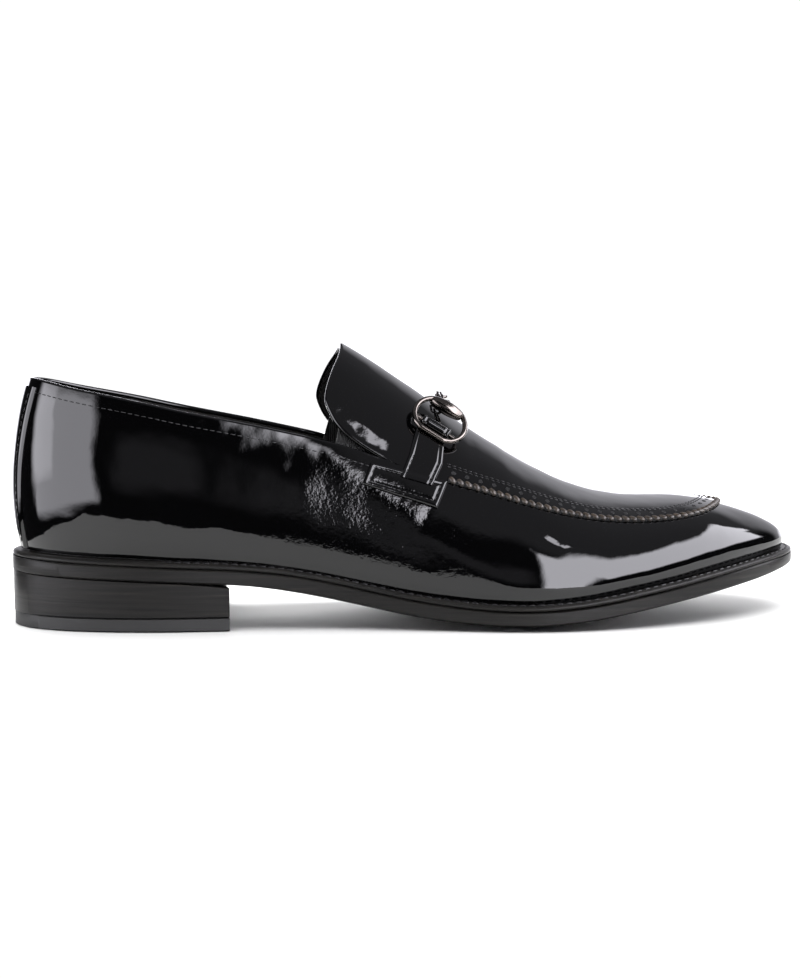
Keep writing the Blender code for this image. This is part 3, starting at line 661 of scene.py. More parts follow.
def sums(tree, operation, a, b):
    """A math node between two values, each a socket or a number."""
    made = tree.nodes.new("ShaderNodeMath")
    made.operation = operation
    for socket, value in zip(made.inputs, (a, b)):
        if isinstance(value, (int, float)):
            socket.default_value = value
        else:
            tree.links.new(value, socket)
    return made.outputs[0]


def fade(tree, value, start, end, low, high, kind="SMOOTHSTEP"):
    """low up to start, high from end on, and softly between."""
    made = tree.nodes.new("ShaderNodeMapRange")
    made.interpolation_type = kind
    for socket, number in zip(("From Min", "From Max", "To Min", "To Max"), (start, end, low, high)):
        made.inputs[socket].default_value = number
    tree.links.new(value, made.inputs["Value"])
    return made.outputs["Result"]


def near(tree, where, centre, radius):
    """1 close to a place and 0 from radius on."""
    distance = tree.nodes.new("ShaderNodeVectorMath")
    distance.operation = "DISTANCE"
    tree.links.new(where, distance.inputs[0])
    distance.inputs[1].default_value = centre
    return fade(tree, distance.outputs["Value"], 0.0, radius, 1.0, 0.0)


def grain(tree, shader, where, scale, detail, depth):
    tree.links.new(bump(tree, noise(tree, where, scale, detail), depth), shader.inputs["Normal"])


def patent(name, on_vamp=False):
    """Black patent leather: a dark body under a glassy coat, with crinkles where the foot bends."""
    settings = {
        "Base Color": (0.0009, 0.0009, 0.0012, 1),
        "Roughness": 0.45,
        "Specular IOR Level": 0.0,
        "Coat Weight": 1.0,
        "Coat Roughness": 0.025,
        "Coat IOR": 1.52,
    }
    made, tree, shader, where = new_material(name, settings)
    normal = bump(tree, noise(tree, where, 55, 1.5), 0.0005)
    normal = bump(tree, noise(tree, where, 900, 2.0), 0.000006, base=normal)
    if on_vamp:
        normal = bump(tree, shoulder(tree, where), 1.0, base=normal)
    for along, height, side, radius, scale, depth in CRINKLES:
        point, _ = side_point(np.array(along * LENGTH), np.array(height * INSTEP_HEIGHT), side)
        here = near(tree, where, tuple(point + SHIFT), radius)
        fine = sums(tree, "MULTIPLY", noise(tree, where, scale, 3.0, 0.6), here)
        normal = bump(tree, fine, depth, base=normal)
    tree.links.new(normal, shader.inputs["Normal"])
    tree.links.new(normal, shader.inputs["Coat Normal"])
    return made


def shoulder(tree, where):
    """Height that makes the vamp's wall a little fuller towards the apron."""
    parts = tree.nodes.new("ShaderNodeSeparateXYZ")
    tree.links.new(where, parts.inputs[0])
    over = sums(tree, "SUBTRACT", parts.outputs["Z"], SHOULDER_FOOT)
    over = sums(tree, "MAXIMUM", over, 0.0)
    square = sums(tree, "MULTIPLY", over, over)
    square = sums(tree, "MULTIPLY", square, SHOULDER_SLOPE / (2 * SHOULDER_RISE))
    there = fade(tree, parts.outputs["X"], SHOULDER_START, SHOULDER_START + SHOULDER_FADE, 0.0, 1.0)
    return sums(tree, "MULTIPLY", square, there)


def dull_leather(name, colour, roughness, scale=700, depth=0.00008):
    made, tree, shader, where = new_material(name, {"Roughness": roughness})
    tint = noise(tree, where, 60, 4.0)
    dark = tuple(c * 0.75 for c in colour)
    light = tuple(min(1, c * 1.25) for c in colour)
    tree.links.new(ramp(tree, tint, [(0.3, dark), (0.7, light)]), shader.inputs["Base Color"])
    grain(tree, shader, where, scale, 3.0, depth)
    return made


def sole_edge():
    """Dressed black leather edge: satin, with fine lines along it and a little brown where it is rubbed."""
    made, tree, shader, where = new_material("sole_edge", {"Specular IOR Level": 0.20})
    lines = noise(tree, where, 220, 4.0, 0.6, stretch=(0.12, 0.12, 4.0))
    stops = [(0.30, (0.006, 0.006, 0.006)), (0.62, (0.016, 0.015, 0.014)), (0.8, (0.035, 0.031, 0.027))]
    tree.links.new(ramp(tree, lines, stops), shader.inputs["Base Color"])
    blotch = noise(tree, where, 35, 3.0)
    tree.links.new(fade(tree, blotch, 0.0, 1.0, 0.28, 0.50, "LINEAR"), shader.inputs["Roughness"])
    tree.links.new(bump(tree, lines, 0.00012), shader.inputs["Normal"])
    return made


def braid_finish():
    """Glazed bronze-brown lacing, its tone varying at random; the dark between its turns is painted shade
    from the cord under it.
    """
    settings = {"Roughness": 0.42, "Coat Weight": 0.25, "Coat Roughness": 0.20}
    made, tree, shader, where = new_material("braid_leather", settings)
    tint = noise(tree, where, 400, 3.0)
    stops = [(0.3, (0.014, 0.010, 0.007)), (0.7, (0.045, 0.032, 0.022))]
    tree.links.new(ramp(tree, tint, stops), shader.inputs["Base Color"])
    grain(tree, shader, where, 1500, 2.0, 0.00004)
    return made


def gunmetal():
    """Polished dark metal with a bronze tint."""
    made, tree, shader, where = new_material("gunmetal", {"Metallic": 1.0, "Roughness": 0.14})
    tint = noise(tree, where, 180, 3.0)
    stops = [(0.3, (0.095, 0.085, 0.078)), (0.7, (0.16, 0.142, 0.13))]
    tree.links.new(ramp(tree, tint, stops), shader.inputs["Base Color"])
    grain(tree, shader, where, 1800, 2.0, 0.000004)
    return made


def elastic():
    """Black ribbed elastic."""
    settings = {"Base Color": (0.006, 0.006, 0.006, 1), "Roughness": 0.85, "Sheen Weight": 0.2}
    made, tree, shader, where = new_material("elastic", settings)
    wave = tree.nodes.new("ShaderNodeTexWave")
    wave.inputs["Scale"].default_value = 420
    wave.inputs["Distortion"].default_value = 0.6
    tree.links.new(where, wave.inputs["Vector"])
    tree.links.new(bump(tree, wave.outputs["Fac"], 0.0003), shader.inputs["Normal"])
    return made


def thread_finish(name, colour, roughness):
    made, tree, shader, where = new_material(name, {"Base Color": (*colour, 1), "Roughness": roughness})
    grain(tree, shader, where, 3000, 1.0, 0.00003)
    return made


# The upper

def rim_angle(turns):
    """The angle of the topline on each meridian."""
    angles = np.linspace(0.2, math.pi / 2 - 0.05, 300)
    found = []
    for turn in turns:
        points = last_point(np.full(angles.shape, turn), angles)
        over = points[:, 2] - topline(points[:, 0])
        k = int(np.argmax(over > 0))
        mix = over[k - 1] / (over[k - 1] - over[k])
        found.append(angles[k - 1] + (angles[k] - angles[k - 1]) * mix)
    return np.array(found)


def throat_turn():
    return turn_of(share_of(THROAT * LENGTH))


def make_quarters(finish, lining):
    """Vamp and quarters from the welt up to the topline and the apron's seam, with their lining."""
    throat = throat_turn()
    count = 560
    turns = np.arange(count) * 2 * math.pi / count
    back = np.minimum(turns, 2 * math.pi - turns)
    top = apron_angle(turns)
    collar = back < throat
    top[collar] = rim_angle(turns[collar])
    shares = np.linspace(0, 1, 61)[:, None]
    grid = np.broadcast_to(turns, (len(shares), count))
    angles = FOOT_ANGLE + shares * (top - FOOT_ANGLE)
    points, normals = last_point(grid, angles), last_normal(grid, angles)
    outer = points + normals * crease_rise(points)[..., None]
    inner = points - normals * WALL * LEATHER_SHARE
    loops = np.concatenate([outer, inner[::-1]]).transpose(1, 0, 2)
    leather = add("quarters_and_vamp", *hoop_parts(loops), finish, "patent_leather")
    angles = FOOT_ANGLE + shares * (top * np.where(collar, 0.985, 1.0) - FOOT_ANGLE)
    points, normals = last_point(grid, angles), last_normal(grid, angles)
    outer, inner = points - normals * WALL * LINING_START, points - normals * WALL
    loops = np.concatenate([outer, inner[::-1]]).transpose(1, 0, 2)
    add("quarter_lining", *hoop_parts(loops), lining, "lining_leather")
    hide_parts("upper")


def tongue_edge_x(angles):
    """Where the tongue's edge crosses lines of one angle on the last."""
    shares = np.linspace(0, 1, 600)
    x = LENGTH * TONGUE_ALONG(shares)
    z = INSTEP_HEIGHT * TONGUE_HEIGHT(shares)
    found = side_place(x, z)
    order = np.argsort(found, kind="stable")
    return np.interp(angles, found[order], x[order])


def apron_lift(turns):
    """How far the apron stands over the vamp on each meridian."""
    return APRON_STEP * np.clip((share_at(turns) - STEP_START) / STEP_RUN, 0, 1)


def turn_at(x, side):
    turn = np.arccos(np.clip(1 - 2 * share_of(x), -1, 1))
    return np.where(side < 0, turn, 2 * math.pi - turn)


def apron_grid(across, rows_back, rows_front):
    """Turns and angles of the apron with the tongue, in rows from the toe back to the tongue's edge."""
    throat = throat_turn()
    start = float(apron_angle(np.array(throat)))
    w = 1 - np.abs(across)
    side = np.where(across < 0, -1, 1)
    front = np.linspace(math.pi, throat, rows_front + 1)
    front_angle = apron_angle(front)[:, None] + (math.pi / 2 - apron_angle(front)[:, None]) * w
    front_turn = np.where(side < 0, front[:, None], 2 * math.pi - front[:, None])
    level = start + (math.pi / 2 - start) * w
    edge = np.minimum(tongue_edge_x(level), THROAT * LENGTH - 1e-4 * (1 + w))
    back = np.linspace(0, 1, rows_back + 1)[1:, None]
    x = THROAT * LENGTH + (edge - THROAT * LENGTH) * back
    back_turn = turn_at(x, side)
    back_angle = np.broadcast_to(level, x.shape)
    return np.concatenate([front_turn, back_turn]), np.concatenate([front_angle, back_angle])


def spine_safe_normals(turns, angles, across):
    """Normals of the last, with both sides' mean where they meet at the spine."""
    normals = last_normal(turns, angles)
    middle = len(across) // 2
    normals[:, middle] = unit(normals[:, middle - 1] + normals[:, middle + 1])
    return normals


def make_apron(finish, lining):
    """The apron with the tongue, standing a step over the vamp."""
    across = np.linspace(-1, 1, 161)
    turns, angles = apron_grid(across, 90, 190)
    points = last_point(turns, angles)
    normals = spine_safe_normals(turns, angles, across)
    outer = points + normals * apron_lift(turns)[..., None]
    middle = points - normals * WALL * LEATHER_SHARE
    add("apron_and_tongue", *slab_parts(outer, middle, True), finish, "patent_leather")
    start, inner = points - normals * WALL * LINING_START, points - normals * WALL
    add("tongue_lining", *slab_parts(start, inner, True), lining, "lining_leather")
    edge = outer[-1] * 0.5 + inner[-1] * 0.5
    add("tongue_edge", *rod_parts(tube_loops(edge, EDGE_ROLL, 14, normals[-1])), finish, "patent_leather")


def make_collar_edge(finish):
    """The folded edge along the topline."""
    throat = throat_turn() - 0.006
    turns = np.linspace(-throat, throat, 321)
    angles = rim_angle(turns)
    points, normals = last_point(turns, angles), last_normal(turns, angles)
    path = points - normals * WALL * 0.5
    add("topline_edge", *rod_parts(tube_loops(path, EDGE_ROLL, 14, normals)), finish, "patent_leather")


def wall_row(turns, drop):
    """Points and normals along the topline, a drop below it."""
    angles = rim_angle(turns) - drop / wall_height(turns)
    points = last_point(turns, angles)
    return points + last_normal(turns, angles) * crease_rise(points)[:, None], last_normal(turns, angles)


def wall_height(turns):
    """Metres of wall for each radian at the topline."""
    angles = rim_angle(turns)
    return np.linalg.norm(last_point(turns, angles) - last_point(turns, angles - 0.01), axis=-1) / 0.01


def apron_row(inset, count):
    """Points and normals along the apron's seam. inset: towards the spine, or over the vamp if negative."""
    begin = turn_of(LACING_START)
    turns = np.linspace(begin, 2 * math.pi - begin, count)
    angles = apron_angle(turns)
    slope = np.linalg.norm(last_point(turns, angles + 0.01) - last_point(turns, angles), axis=-1) / 0.01
    angles = angles + inset / slope
    points, normals = last_point(turns, angles), last_normal(turns, angles)
    lift = apron_lift(turns) if inset > 0 else np.zeros(count)
    return points + normals * lift[:, None], normals


def make_lacing(finish, dark):
    """The laced seam round the apron: a cord with slanting turns of lace over it; the cord's matte black is
    painted shade in the gaps between the turns.
    """
    path, normals = apron_row(-BRAID_OUTSET, 400)
    core = path + normals * 0.0003
    # the cord in matte black: painted shade between the turns of lace
    add("apron_shade_cord", *rod_parts(tube_loops(core, (0.0010, 0.0008), 10, normals)), dark, "braid_leather")
    at, length = even_places(path, BEAD_PITCH)
    centres, ups = on_path(path, length, at), on_path(normals, length, at)
    ways = on_path(path, length, at + BEAD_PITCH / 3) - on_path(path, length, at - BEAD_PITCH / 3)
    parts = []
    for c, u, way in zip(centres, ups, ways):
        way = unit(way)
        slant = way * 0.80 + np.cross(way, u) * 0.60
        middle = c + u * BEAD_LIFT
        parts.append(capsule_parts(middle, slant, u, BEAD_LENGTH, BEAD_RADIUS, BEAD_RADIUS, 8, 12))
    made = add("apron_lacing", *joined(parts), finish, "braid_leather")
    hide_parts("apron_braid")


def make_holes(path, normals, name, dark, rim):
    """Round pinholes, each a dark cup in a fine rim; the cup's matte black is painted shade of the hole's
    inside.
    """
    at, length = even_places(path, HOLE_PITCH)
    shade_cups, rims = [], []
    sides = 14
    angles = np.arange(sides) * 2 * math.pi / sides
    centres, ups = on_path(path, length, at), on_path(normals, length, at)
    for c, u, ahead in zip(centres, ups, on_path(path, length, at + 0.001)):
        way = unit(ahead - c)
        across = unit(np.cross(way, u))
        ring = (way * np.cos(angles)[:, None] + across * np.sin(angles)[:, None]) * HOLE_RADIUS
        rims.append(hoop_parts(tube_loops(c + ring, 0.00013, 6, u, closed=True)))
        # a matte black cup: painted shade of the hole's inside
        shade_cups.append(rod_parts(np.stack([c - u * 0.0004 + ring, c + u * 0.00012 + ring])))
    add(name + "_cups", *joined(shade_cups), dark, "patent_leather")
    add(name + "_rims", *joined(rims), rim, "patent_leather")


def make_backstay(finish, thread):
    """The strip over the seam at the back of the heel, with a row of stitches near each edge."""
    rows, columns = 60, 28
    per_turn = BALL_WIDTH * float(FULL(0.0))
    share = np.linspace(0, 1, rows)[:, None]
    half = (BACKSTAY_HALF_BOTTOM + (BACKSTAY_HALF_TOP - BACKSTAY_HALF_BOTTOM) * share) / per_turn
    turns = half * np.linspace(-1, 1, columns + 1)
    wall = last_point(turns, np.zeros(turns.shape))
    rims = np.stack([rim_angle(row) for row in turns])
    high = rims * (1 - BACKSTAY_DROP / (topline(wall[..., 0]) - wall[..., 2]))
    low = BACKSTAY_FOOT * rims
    angles = low + (high - low) * share
    points, normals = last_point(turns, angles), last_normal(turns, angles)
    across = np.abs(np.linspace(-1, 1, columns + 1))
    edge = np.clip((1 - across) / 0.10, 0, 1) ** 0.5
    bead = 0.00025 * np.exp(-(((across - 0.88) / 0.07) ** 2))
    outer = points + normals * (0.0002 + (BACKSTAY - 0.0002) * edge + bead)[..., None]
    made = add("heel_strip", *slab_parts(outer, points - normals * 0.0001), finish, "patent_leather")
    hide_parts("backstay")
    for side, column in (("lateral", 3), ("medial", columns - 3)):
        path, ups = outer[2:-2, column], normals[2:-2, column]
        stitches("heel_strip_thread_" + side, path, ups, BACKSTAY_STITCH_PITCH, thread, "patent_leather")


def make_gores(finish):
    """Ribbed elastic behind the leather in both corners of the throat."""
    u, w = np.meshgrid(np.linspace(0, 1, 40), np.linspace(0, 1, 40))
    x, z = patch(GORE_CORNERS, u, w)
    for side, word in ((-1, "lateral"), (1, "medial")):
        ribs = 0.00018 * np.sin(u * 2 * math.pi * 16)
        outer, _ = side_point(x, z, side, -(WALL + GAP) + ribs)
        inner, _ = side_point(x, z, side, -(WALL + GAP + GORE))
        made = add("elastic_" + word, *slab_parts(outer, inner), finish, "elastic")
        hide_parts("gore_" + word)


# The straps and the bit

def patch(corners, u, w):
    """Places in the side view inside four corners: u along their first edge and w away from it."""
    weights = ((1 - u) * (1 - w), u * (1 - w), u * w, (1 - u) * w)
    flat = sum(corner * weight[..., None] for corner, weight in zip(np.array(corners), weights))
    return LENGTH * flat[..., 0], INSTEP_HEIGHT * flat[..., 1]


def bit_frame(side):
    """Centre and directions of a ring: along its bar, up the instep, and off the leather."""
    x, z = LENGTH * BIT_ALONG, INSTEP_HEIGHT * (BIT_HEIGHT - (INNER_DROP if side > 0 else 0))
    bar, normal = side_point(x, z, side, BAR_LIFT)
    dx, dz = 1e-3 * math.cos(BAR_SLOPE), 1e-3 * math.sin(BAR_SLOPE)
    along = unit(side_point(x + dx, z + dz, side)[0] - side_point(x - dx, z - dz, side)[0])
    up = np.cross(normal, along) * -side
    return bar + up * BAR_DROP, along, up, normal


def rounded(share):
    """A quarter circle's rise from 0 to 1, and 1 after it."""
    return np.sqrt(np.clip(1 - (1 - np.clip(share, 0, 1)) ** 2, 0, 1))


def ridge_line(share, middle, wide):
    return np.exp(-(((share - middle) / wide) ** 2))


def make_strap(side, word, finish, thread):
    """The stitched tab on the quarter, and the strap that rises over it and wraps the ring's inner bar."""
    drop = INSTEP_HEIGHT * (INNER_DROP if side > 0 else 0)
    u, w = np.meshgrid(np.linspace(0, 1, 110), np.linspace(0, 1, 44))
    x, z = patch(TAB_CORNERS, u, w)
    z = z - drop
    from_u, from_w = np.minimum(u, 1 - u), np.minimum(w, 1 - w)
    edge = rounded(np.minimum(from_u / 0.035, from_w / 0.11))
    across = ridge_line(from_u, 0.075, 0.02) * (from_w > 0.16)
    along = ridge_line(from_w, 0.20, 0.06) * (from_u > 0.05)
    seam = 0.00022 * np.maximum(across, along)
    outer, _ = side_point(x, z, side, GAP + (TAB - GAP) * (0.35 + 0.65 * edge) - seam)
    inner, _ = side_point(x, z, side)
    tab = add("tab_" + word, *slab_parts(outer, inner), finish, "patent_leather", smooth=70)
    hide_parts("strap_" + word)
    for name, line in (
        ("low", [(u_, 0.19) for u_ in np.linspace(0.07, 0.93, 60)]),
        ("high", [(u_, 0.81) for u_ in np.linspace(0.07, 0.93, 60)]),
        ("back", [(0.07, w_) for w_ in np.linspace(0.19, 0.81, 20)]),
        ("front", [(0.93, w_) for w_ in np.linspace(0.19, 0.81, 20)]),
    ):
        line = np.array(line)
        lx, lz = patch(TAB_CORNERS, line[:, 0], line[:, 1])
        path, ups = side_point(lx, lz - drop, side, TAB - 0.0001)
        name = "tab_thread_%s_%s" % (word, name)
        stitches(name, path, ups, STRAP_STITCH_PITCH, thread, "patent_leather", THICK_THREAD)
    centre, along, up, out = bit_frame(side)
    eye = centre - up * INNER_BAR_DROP
    width = np.linspace(0, 1, 40)
    u, w = np.meshgrid(width, np.linspace(0, 0.80, 30))
    x, z = patch(STRAP_CORNERS, u, w)
    z = z - drop
    low, _ = side_point(x, z, side, 1.5 * GAP)
    from_edge = np.minimum(width, 1 - width)
    thick = STRAP * (0.3 + 0.7 * rounded(from_edge / 0.07)) - 0.0002 * ridge_line(from_edge, 0.14, 0.03)
    over_tab = TAB * np.clip(1 - (w - 0.10) / 0.14, 0, 1)
    high, ups = side_point(x, z, side, 1.5 * GAP + thick[None, :] + over_tab * 0.35)
    half = 0.5 * (LENGTH * (STRAP_CORNERS[2][0] - STRAP_CORNERS[3][0])) / math.cos(BAR_SLOPE)
    offsets = (2 * width - 1) * half * EYE_WIDTH
    angles = np.radians(np.linspace(-100, 165, 36))
    spread = along * offsets[:, None]
    wrap = up * np.cos(angles)[:, None] + out * np.sin(angles)[:, None]
    bar = INNER_BAR_WIRE + 0.0001
    ring_in = eye + spread[None] + wrap[:, None] * bar
    ring_out = eye + spread[None] + wrap[:, None] * (bar + thick)[None, :, None]
    under_high = centre - up * BAR_DROP + spread - out * (RING_WIRE + 0.0001)
    under_low = under_high - out * thick[:, None]
    outer = np.concatenate([high, under_high[None], ring_in])
    inner = np.concatenate([low, under_low[None], ring_out])
    points, faces = slab_parts(outer, inner)
    add("strap_" + word + "_leather", points, faces, finish, "patent_leather", smooth=70)
    for name, column in (("back", 5), ("front", 34)):
        name = "strap_thread_%s_%s" % (word, name)
        row, out = high[:, column], ups[:, column]
        stitches(name, row, out, STRAP_STITCH_PITCH, thread, "patent_leather", THICK_THREAD)


def make_ring(side, word, metal):
    """A ring of round wire with a straight bar and an inner bar, open at the top where the barrel sits."""
    centre, along, up, out = bit_frame(side)
    gap_angle = math.asin((BARREL_LENGTH / 2 - 0.0004) / RING_RADIUS)
    bar_angle = math.acos(BAR_DROP / RING_RADIUS)
    corner = 0.16
    right = np.linspace(math.pi / 2 - gap_angle, -math.pi / 2 + bar_angle + corner, 44)
    left = np.linspace(-math.pi / 2 - bar_angle - corner, -3 * math.pi / 2 + gap_angle, 44)
    bar_reach = RING_RADIUS * math.sin(bar_angle) * 0.84
    bar = [(s * bar_reach, -BAR_DROP) for s in np.linspace(1, -1, 16)]
    right, left = ([(RING_RADIUS * math.cos(t), RING_RADIUS * math.sin(t)) for t in a] for a in (right, left))
    path = np.array([centre + along * a + up * b for a, b in right + bar + left])
    parts = [rod_parts(tube_loops(path, RING_WIRE, 20, out))]
    reach = math.sqrt(RING_RADIUS**2 - INNER_BAR_DROP**2)
    ends = np.array([centre - up * INNER_BAR_DROP + along * s * reach for s in np.linspace(-1, 1, 6)])
    parts.append(rod_parts(tube_loops(ends, INNER_BAR_WIRE, 14, out)))
    made = add("bit_ring_fine_" + word, *joined(parts), metal, "gunmetal")
    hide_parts("bit_ring_" + word)
    middle = centre + up * BARREL_RISE
    shares = np.linspace(-1, 1, 41)
    radii = BARREL_END_RADIUS + (BARREL_RADIUS - BARREL_END_RADIUS) * np.cos(shares * math.pi / 2) ** 0.8
    radii[[0, -1]] *= 0.8
    path = np.array([middle + along * s * BARREL_LENGTH / 2 for s in shares])
    loops = tube_loops(path, np.column_stack([radii, radii]), 36, out)
    barrel = add("bit_sleeve_" + word, *rod_parts(loops), metal, "gunmetal")
    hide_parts("bit_barrel_" + word)
    return middle


def seat(x, y, lift):
    """Height of a place over the instep, a lift off the leather, and the leather's normal there."""
    middle = ridge_side(x)
    levels = np.linspace(ridge(x) - GAP / 10, (ridge(x) + feather(x)) / 2, 60)
    wall, normals = side_point(x, levels, 1 if y > middle else -1)
    away = np.abs(wall[:, 1] - middle)
    height = float(np.interp(abs(y - middle), away, wall[:, 2]))
    normal = unit(np.array([np.interp(abs(y - middle), away, normals[:, k]) for k in range(3)]))
    return height + lift / normal[2], normal


def make_chain(start, end, metal):
    """Links over the crown of the instep, each turned a quarter turn from its neighbour."""
    run = np.linspace(0, 1, 40)[:, None]
    path = start + (end - start) * run
    level = np.array([seat(x, y, LINK_REST)[0] for x, y in path[:, :2]])
    path[:, 2] += (level - path[:, 2]) * np.clip(8 * np.minimum(run[:, 0], 1 - run[:, 0]), 0, 1)
    length = run_length(path)
    free = length[-1] - 2 * (BARREL_RADIUS + GAP)
    pitch = (free - 4 * LINK_WIRE - 2 * GAP) / LINKS
    link = pitch + 4 * LINK_WIRE + 2 * GAP
    for k in range(LINKS):
        at = BARREL_RADIUS + GAP + link / 2 + k * pitch
        place, fore, aft = (on_path(path, length, a) for a in (at, at + pitch / 2, at - pitch / 2))
        way = unit(fore - aft)
        _, normal = seat(place[0], place[1], LINK_REST)
        side_way = unit(np.cross(normal, way))
        turned = math.radians(45 if k % 2 else -45)
        wide = side_way * math.cos(turned) + normal * math.sin(turned)
        radius, straight = LINK_WIDTH / 2 - LINK_WIRE, link / 2 - LINK_WIDTH / 2
        loop = []
        for step in range(48):
            t = 2 * math.pi * (step + 0.5) / 48
            shift = math.copysign(straight, math.cos(t))
            loop.append(place + way * (radius * math.cos(t) + shift) + wide * radius * math.sin(t))
        loops = tube_loops(np.array(loop), LINK_WIRE, 14, np.cross(way, wide), closed=True)
        made = add("chain_link_%d" % (k + 1), *hoop_parts(loops), metal, "gunmetal")
        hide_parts("bit_link_%d" % (k + 1))


# The sole

def welt_row(turns, inset, rise):
    """A line over the outsole: inset from the sole's edge, and a rise over the outsole's top."""
    line = sole_line(turns, inset)
    return np.column_stack([line, sole_top(line[:, 0]) + rise])


def make_welt(finish, thread):
    """The strip between upper and outsole, with its row of stitches from waist to waist."""
    profile = [
        # inset, rise
        (0.0008, 0.0001),
        (0.0002, 0.0005),
        (0.0001, 0.0010),
        (0.0003, 0.0016),
        (0.0009, 0.0020),
        (0.0020, WELT_FACE),
        (WELT_WIDTH, WELT_FACE),
        (WELT_WIDTH, 0.0001),
    ]
    turns = np.arange(420) * 2 * math.pi / 420
    loops = np.array([welt_row(turns, inset, rise) for inset, rise in profile]).transpose(1, 0, 2)
    made = add("welt_strip", *hoop_parts(loops), finish, "sole_leather", smooth=60)
    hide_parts("welt")
    turns = np.linspace(math.radians(50), math.radians(310), 700)
    ups = np.tile([0, 0, 1.0], (len(turns), 1))
    row = welt_row(turns, 0.0019, WELT_FACE)
    stitches("welt_thread", row, ups, WELT_STITCH_PITCH, thread, "sole_leather", 0.0003)


def plate(name, inset, top, bottom, finish, slot, stations=140, end=math.pi, hollow=0.0, bevel=0.0006):
    """A solid with the sole's outline from the back up to a turn, with its edges taken in by a bevel."""
    turns = np.linspace(0, end, stations + 1)
    across = np.concatenate([[-1.0], np.linspace(-1 + 0.02, 1 - 0.02, 28), [1.0]])
    outer, inner = sole_line(turns, inset), sole_line(2 * math.pi - turns, inset)
    mix = ((across + 1) / 2)[None, :, None]
    flat = outer[:, None] * (1 - mix) + inner[:, None] * mix
    side = np.broadcast_to(across, flat.shape[:2])
    flat[..., 0] -= hollow * (1 - side**2) * (np.maximum(flat[..., 0], 0) / flat[..., 0].max()) ** 6
    rim = 1 - (1 - np.abs(side)) * np.minimum(1, 2 * np.sin(turns))[:, None]
    soft = bevel * (rim > 0.9995)
    upper = np.dstack([flat, top(flat[..., 0], rim) - soft])
    lower = np.dstack([flat, bottom(flat[..., 0], rim) + soft])
    return add(name, *slab_parts(upper, lower), finish, slot, smooth=35)


def outsole_bottom(x, side):
    return np.maximum(tread(x) + CAMBER * TREAD_CAMBER(x / LENGTH) * np.abs(side) ** 4, 0)


def level(height):
    return lambda x, side: 0 * x + height


def make_sole(edge, rubber):
    """The outsole, the heel's block of stacked leather and its rubber top lift."""
    made = plate("outsole_leather", 0.0, lambda x, s: sole_top(x), outsole_bottom, edge, "sole_leather")
    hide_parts("outsole")
    heel = {"stations": 60, "end": turn_of(share_of(HEEL_LENGTH)), "hollow": BREAST_HOLLOW}
    top, bottom = (lambda x, s: tread(x) - 0.0002), level(TOP_LIFT + LIFT_SEAM)
    block = plate("heel_block", HEEL_TAPER / 2, top, bottom, edge, "sole_leather", bevel=0.0003, **heel)
    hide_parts("heel_stack")
    top, bottom = level(TOP_LIFT - LIFT_SEAM), level(0)
    lift = plate("heel_rubber", HEEL_TAPER, top, bottom, rubber, "heel_rubber", bevel=0.0004, **heel)
    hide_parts("top_lift")


def make_footbed(finish):
    edge = WELT_LEDGE + WALL + GAP

    def top(x, side):
        return feather(x) + INSOLE + 0.0012 * side**6

    def bottom(x, side):
        return feather(x) - 0.0010

    made = plate("footbed", edge, top, bottom, finish, "lining_leather", bevel=0.0)
    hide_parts("insole")


# The setting

VIEW_LENS = 62.14
VIEW_PLACE = (0.0676, -0.6411, 0.1083)
VIEW_AHEAD = (0.1213, 0.9882, -0.0937)
VIEW_ROLL = math.radians(0.22)


def make_camera():
    data = bpy.data.cameras.new("camera")
    data.sensor_width = 36
    data.lens = VIEW_LENS
    made = bpy.data.objects.new("camera", data)
    bpy.context.scene.collection.objects.link(made)
    ahead = Vector(VIEW_AHEAD).normalized()
    made.location = Vector(VIEW_PLACE) + Vector(SHIFT)
    made.rotation_mode = "QUATERNION"
    made.rotation_quaternion = Quaternion(ahead, VIEW_ROLL) @ ahead.to_track_quat("-Z", "Y")
    made.rotation_mode = "XYZ"
    bpy.context.scene.camera = made


PANELS = [
    # degrees from the front towards the toe, elevation, roll, half wide, half high, soft border, strength
    (-63, 6, -2, 0.46, 0.35, 0.05, 4.6),
    (-77, 10, -6, 0.24, 0.27, 0.10, 7.0),
    (-14, 6, 0, 0.26, 0.16, 0.08, 0.20),
    (16, 10, 8, 0.17, 0.42, 0.04, 9.0),
    (58, 29, -14, 0.75, 0.33, 0.05, 9.0),
    (86, 41, -6, 0.30, 0.16, 0.03, 9.0),
    (34, 48, -20, 0.050, 0.022, 0.012, 8.0),
    (90, 80, 0, 1.30, 1.30, 0.30, 0.25),
    (145, 12, 0, 0.55, 0.50, 0.20, 1.05),
    (180, 2, 0, 0.70, 0.16, 0.12, 4.0),
    (135, 1, 0, 0.16, 0.14, 0.12, 3.0),
]
ROOM = 0.03  # strength of the studio where no panel is
WHITE = 1.05  # strength of what the camera sees behind the shoe
PANEL_TINT = (0.94, 0.93, 1.0)
OVERHEAD = 115
BACK_LIGHT = 45
BACK_PLACE = (0.0, 1.1, 0.27)
FLOOR = ((-0.235, -0.140), (0.60, 1.2))  # small, so that its reflection ends where the photo's does


def facing(tree, way, axis):
    made = tree.nodes.new("ShaderNodeVectorMath")
    made.operation = "DOT_PRODUCT"
    tree.links.new(way, made.inputs[0])
    made.inputs[1].default_value = axis
    return made.outputs["Value"]


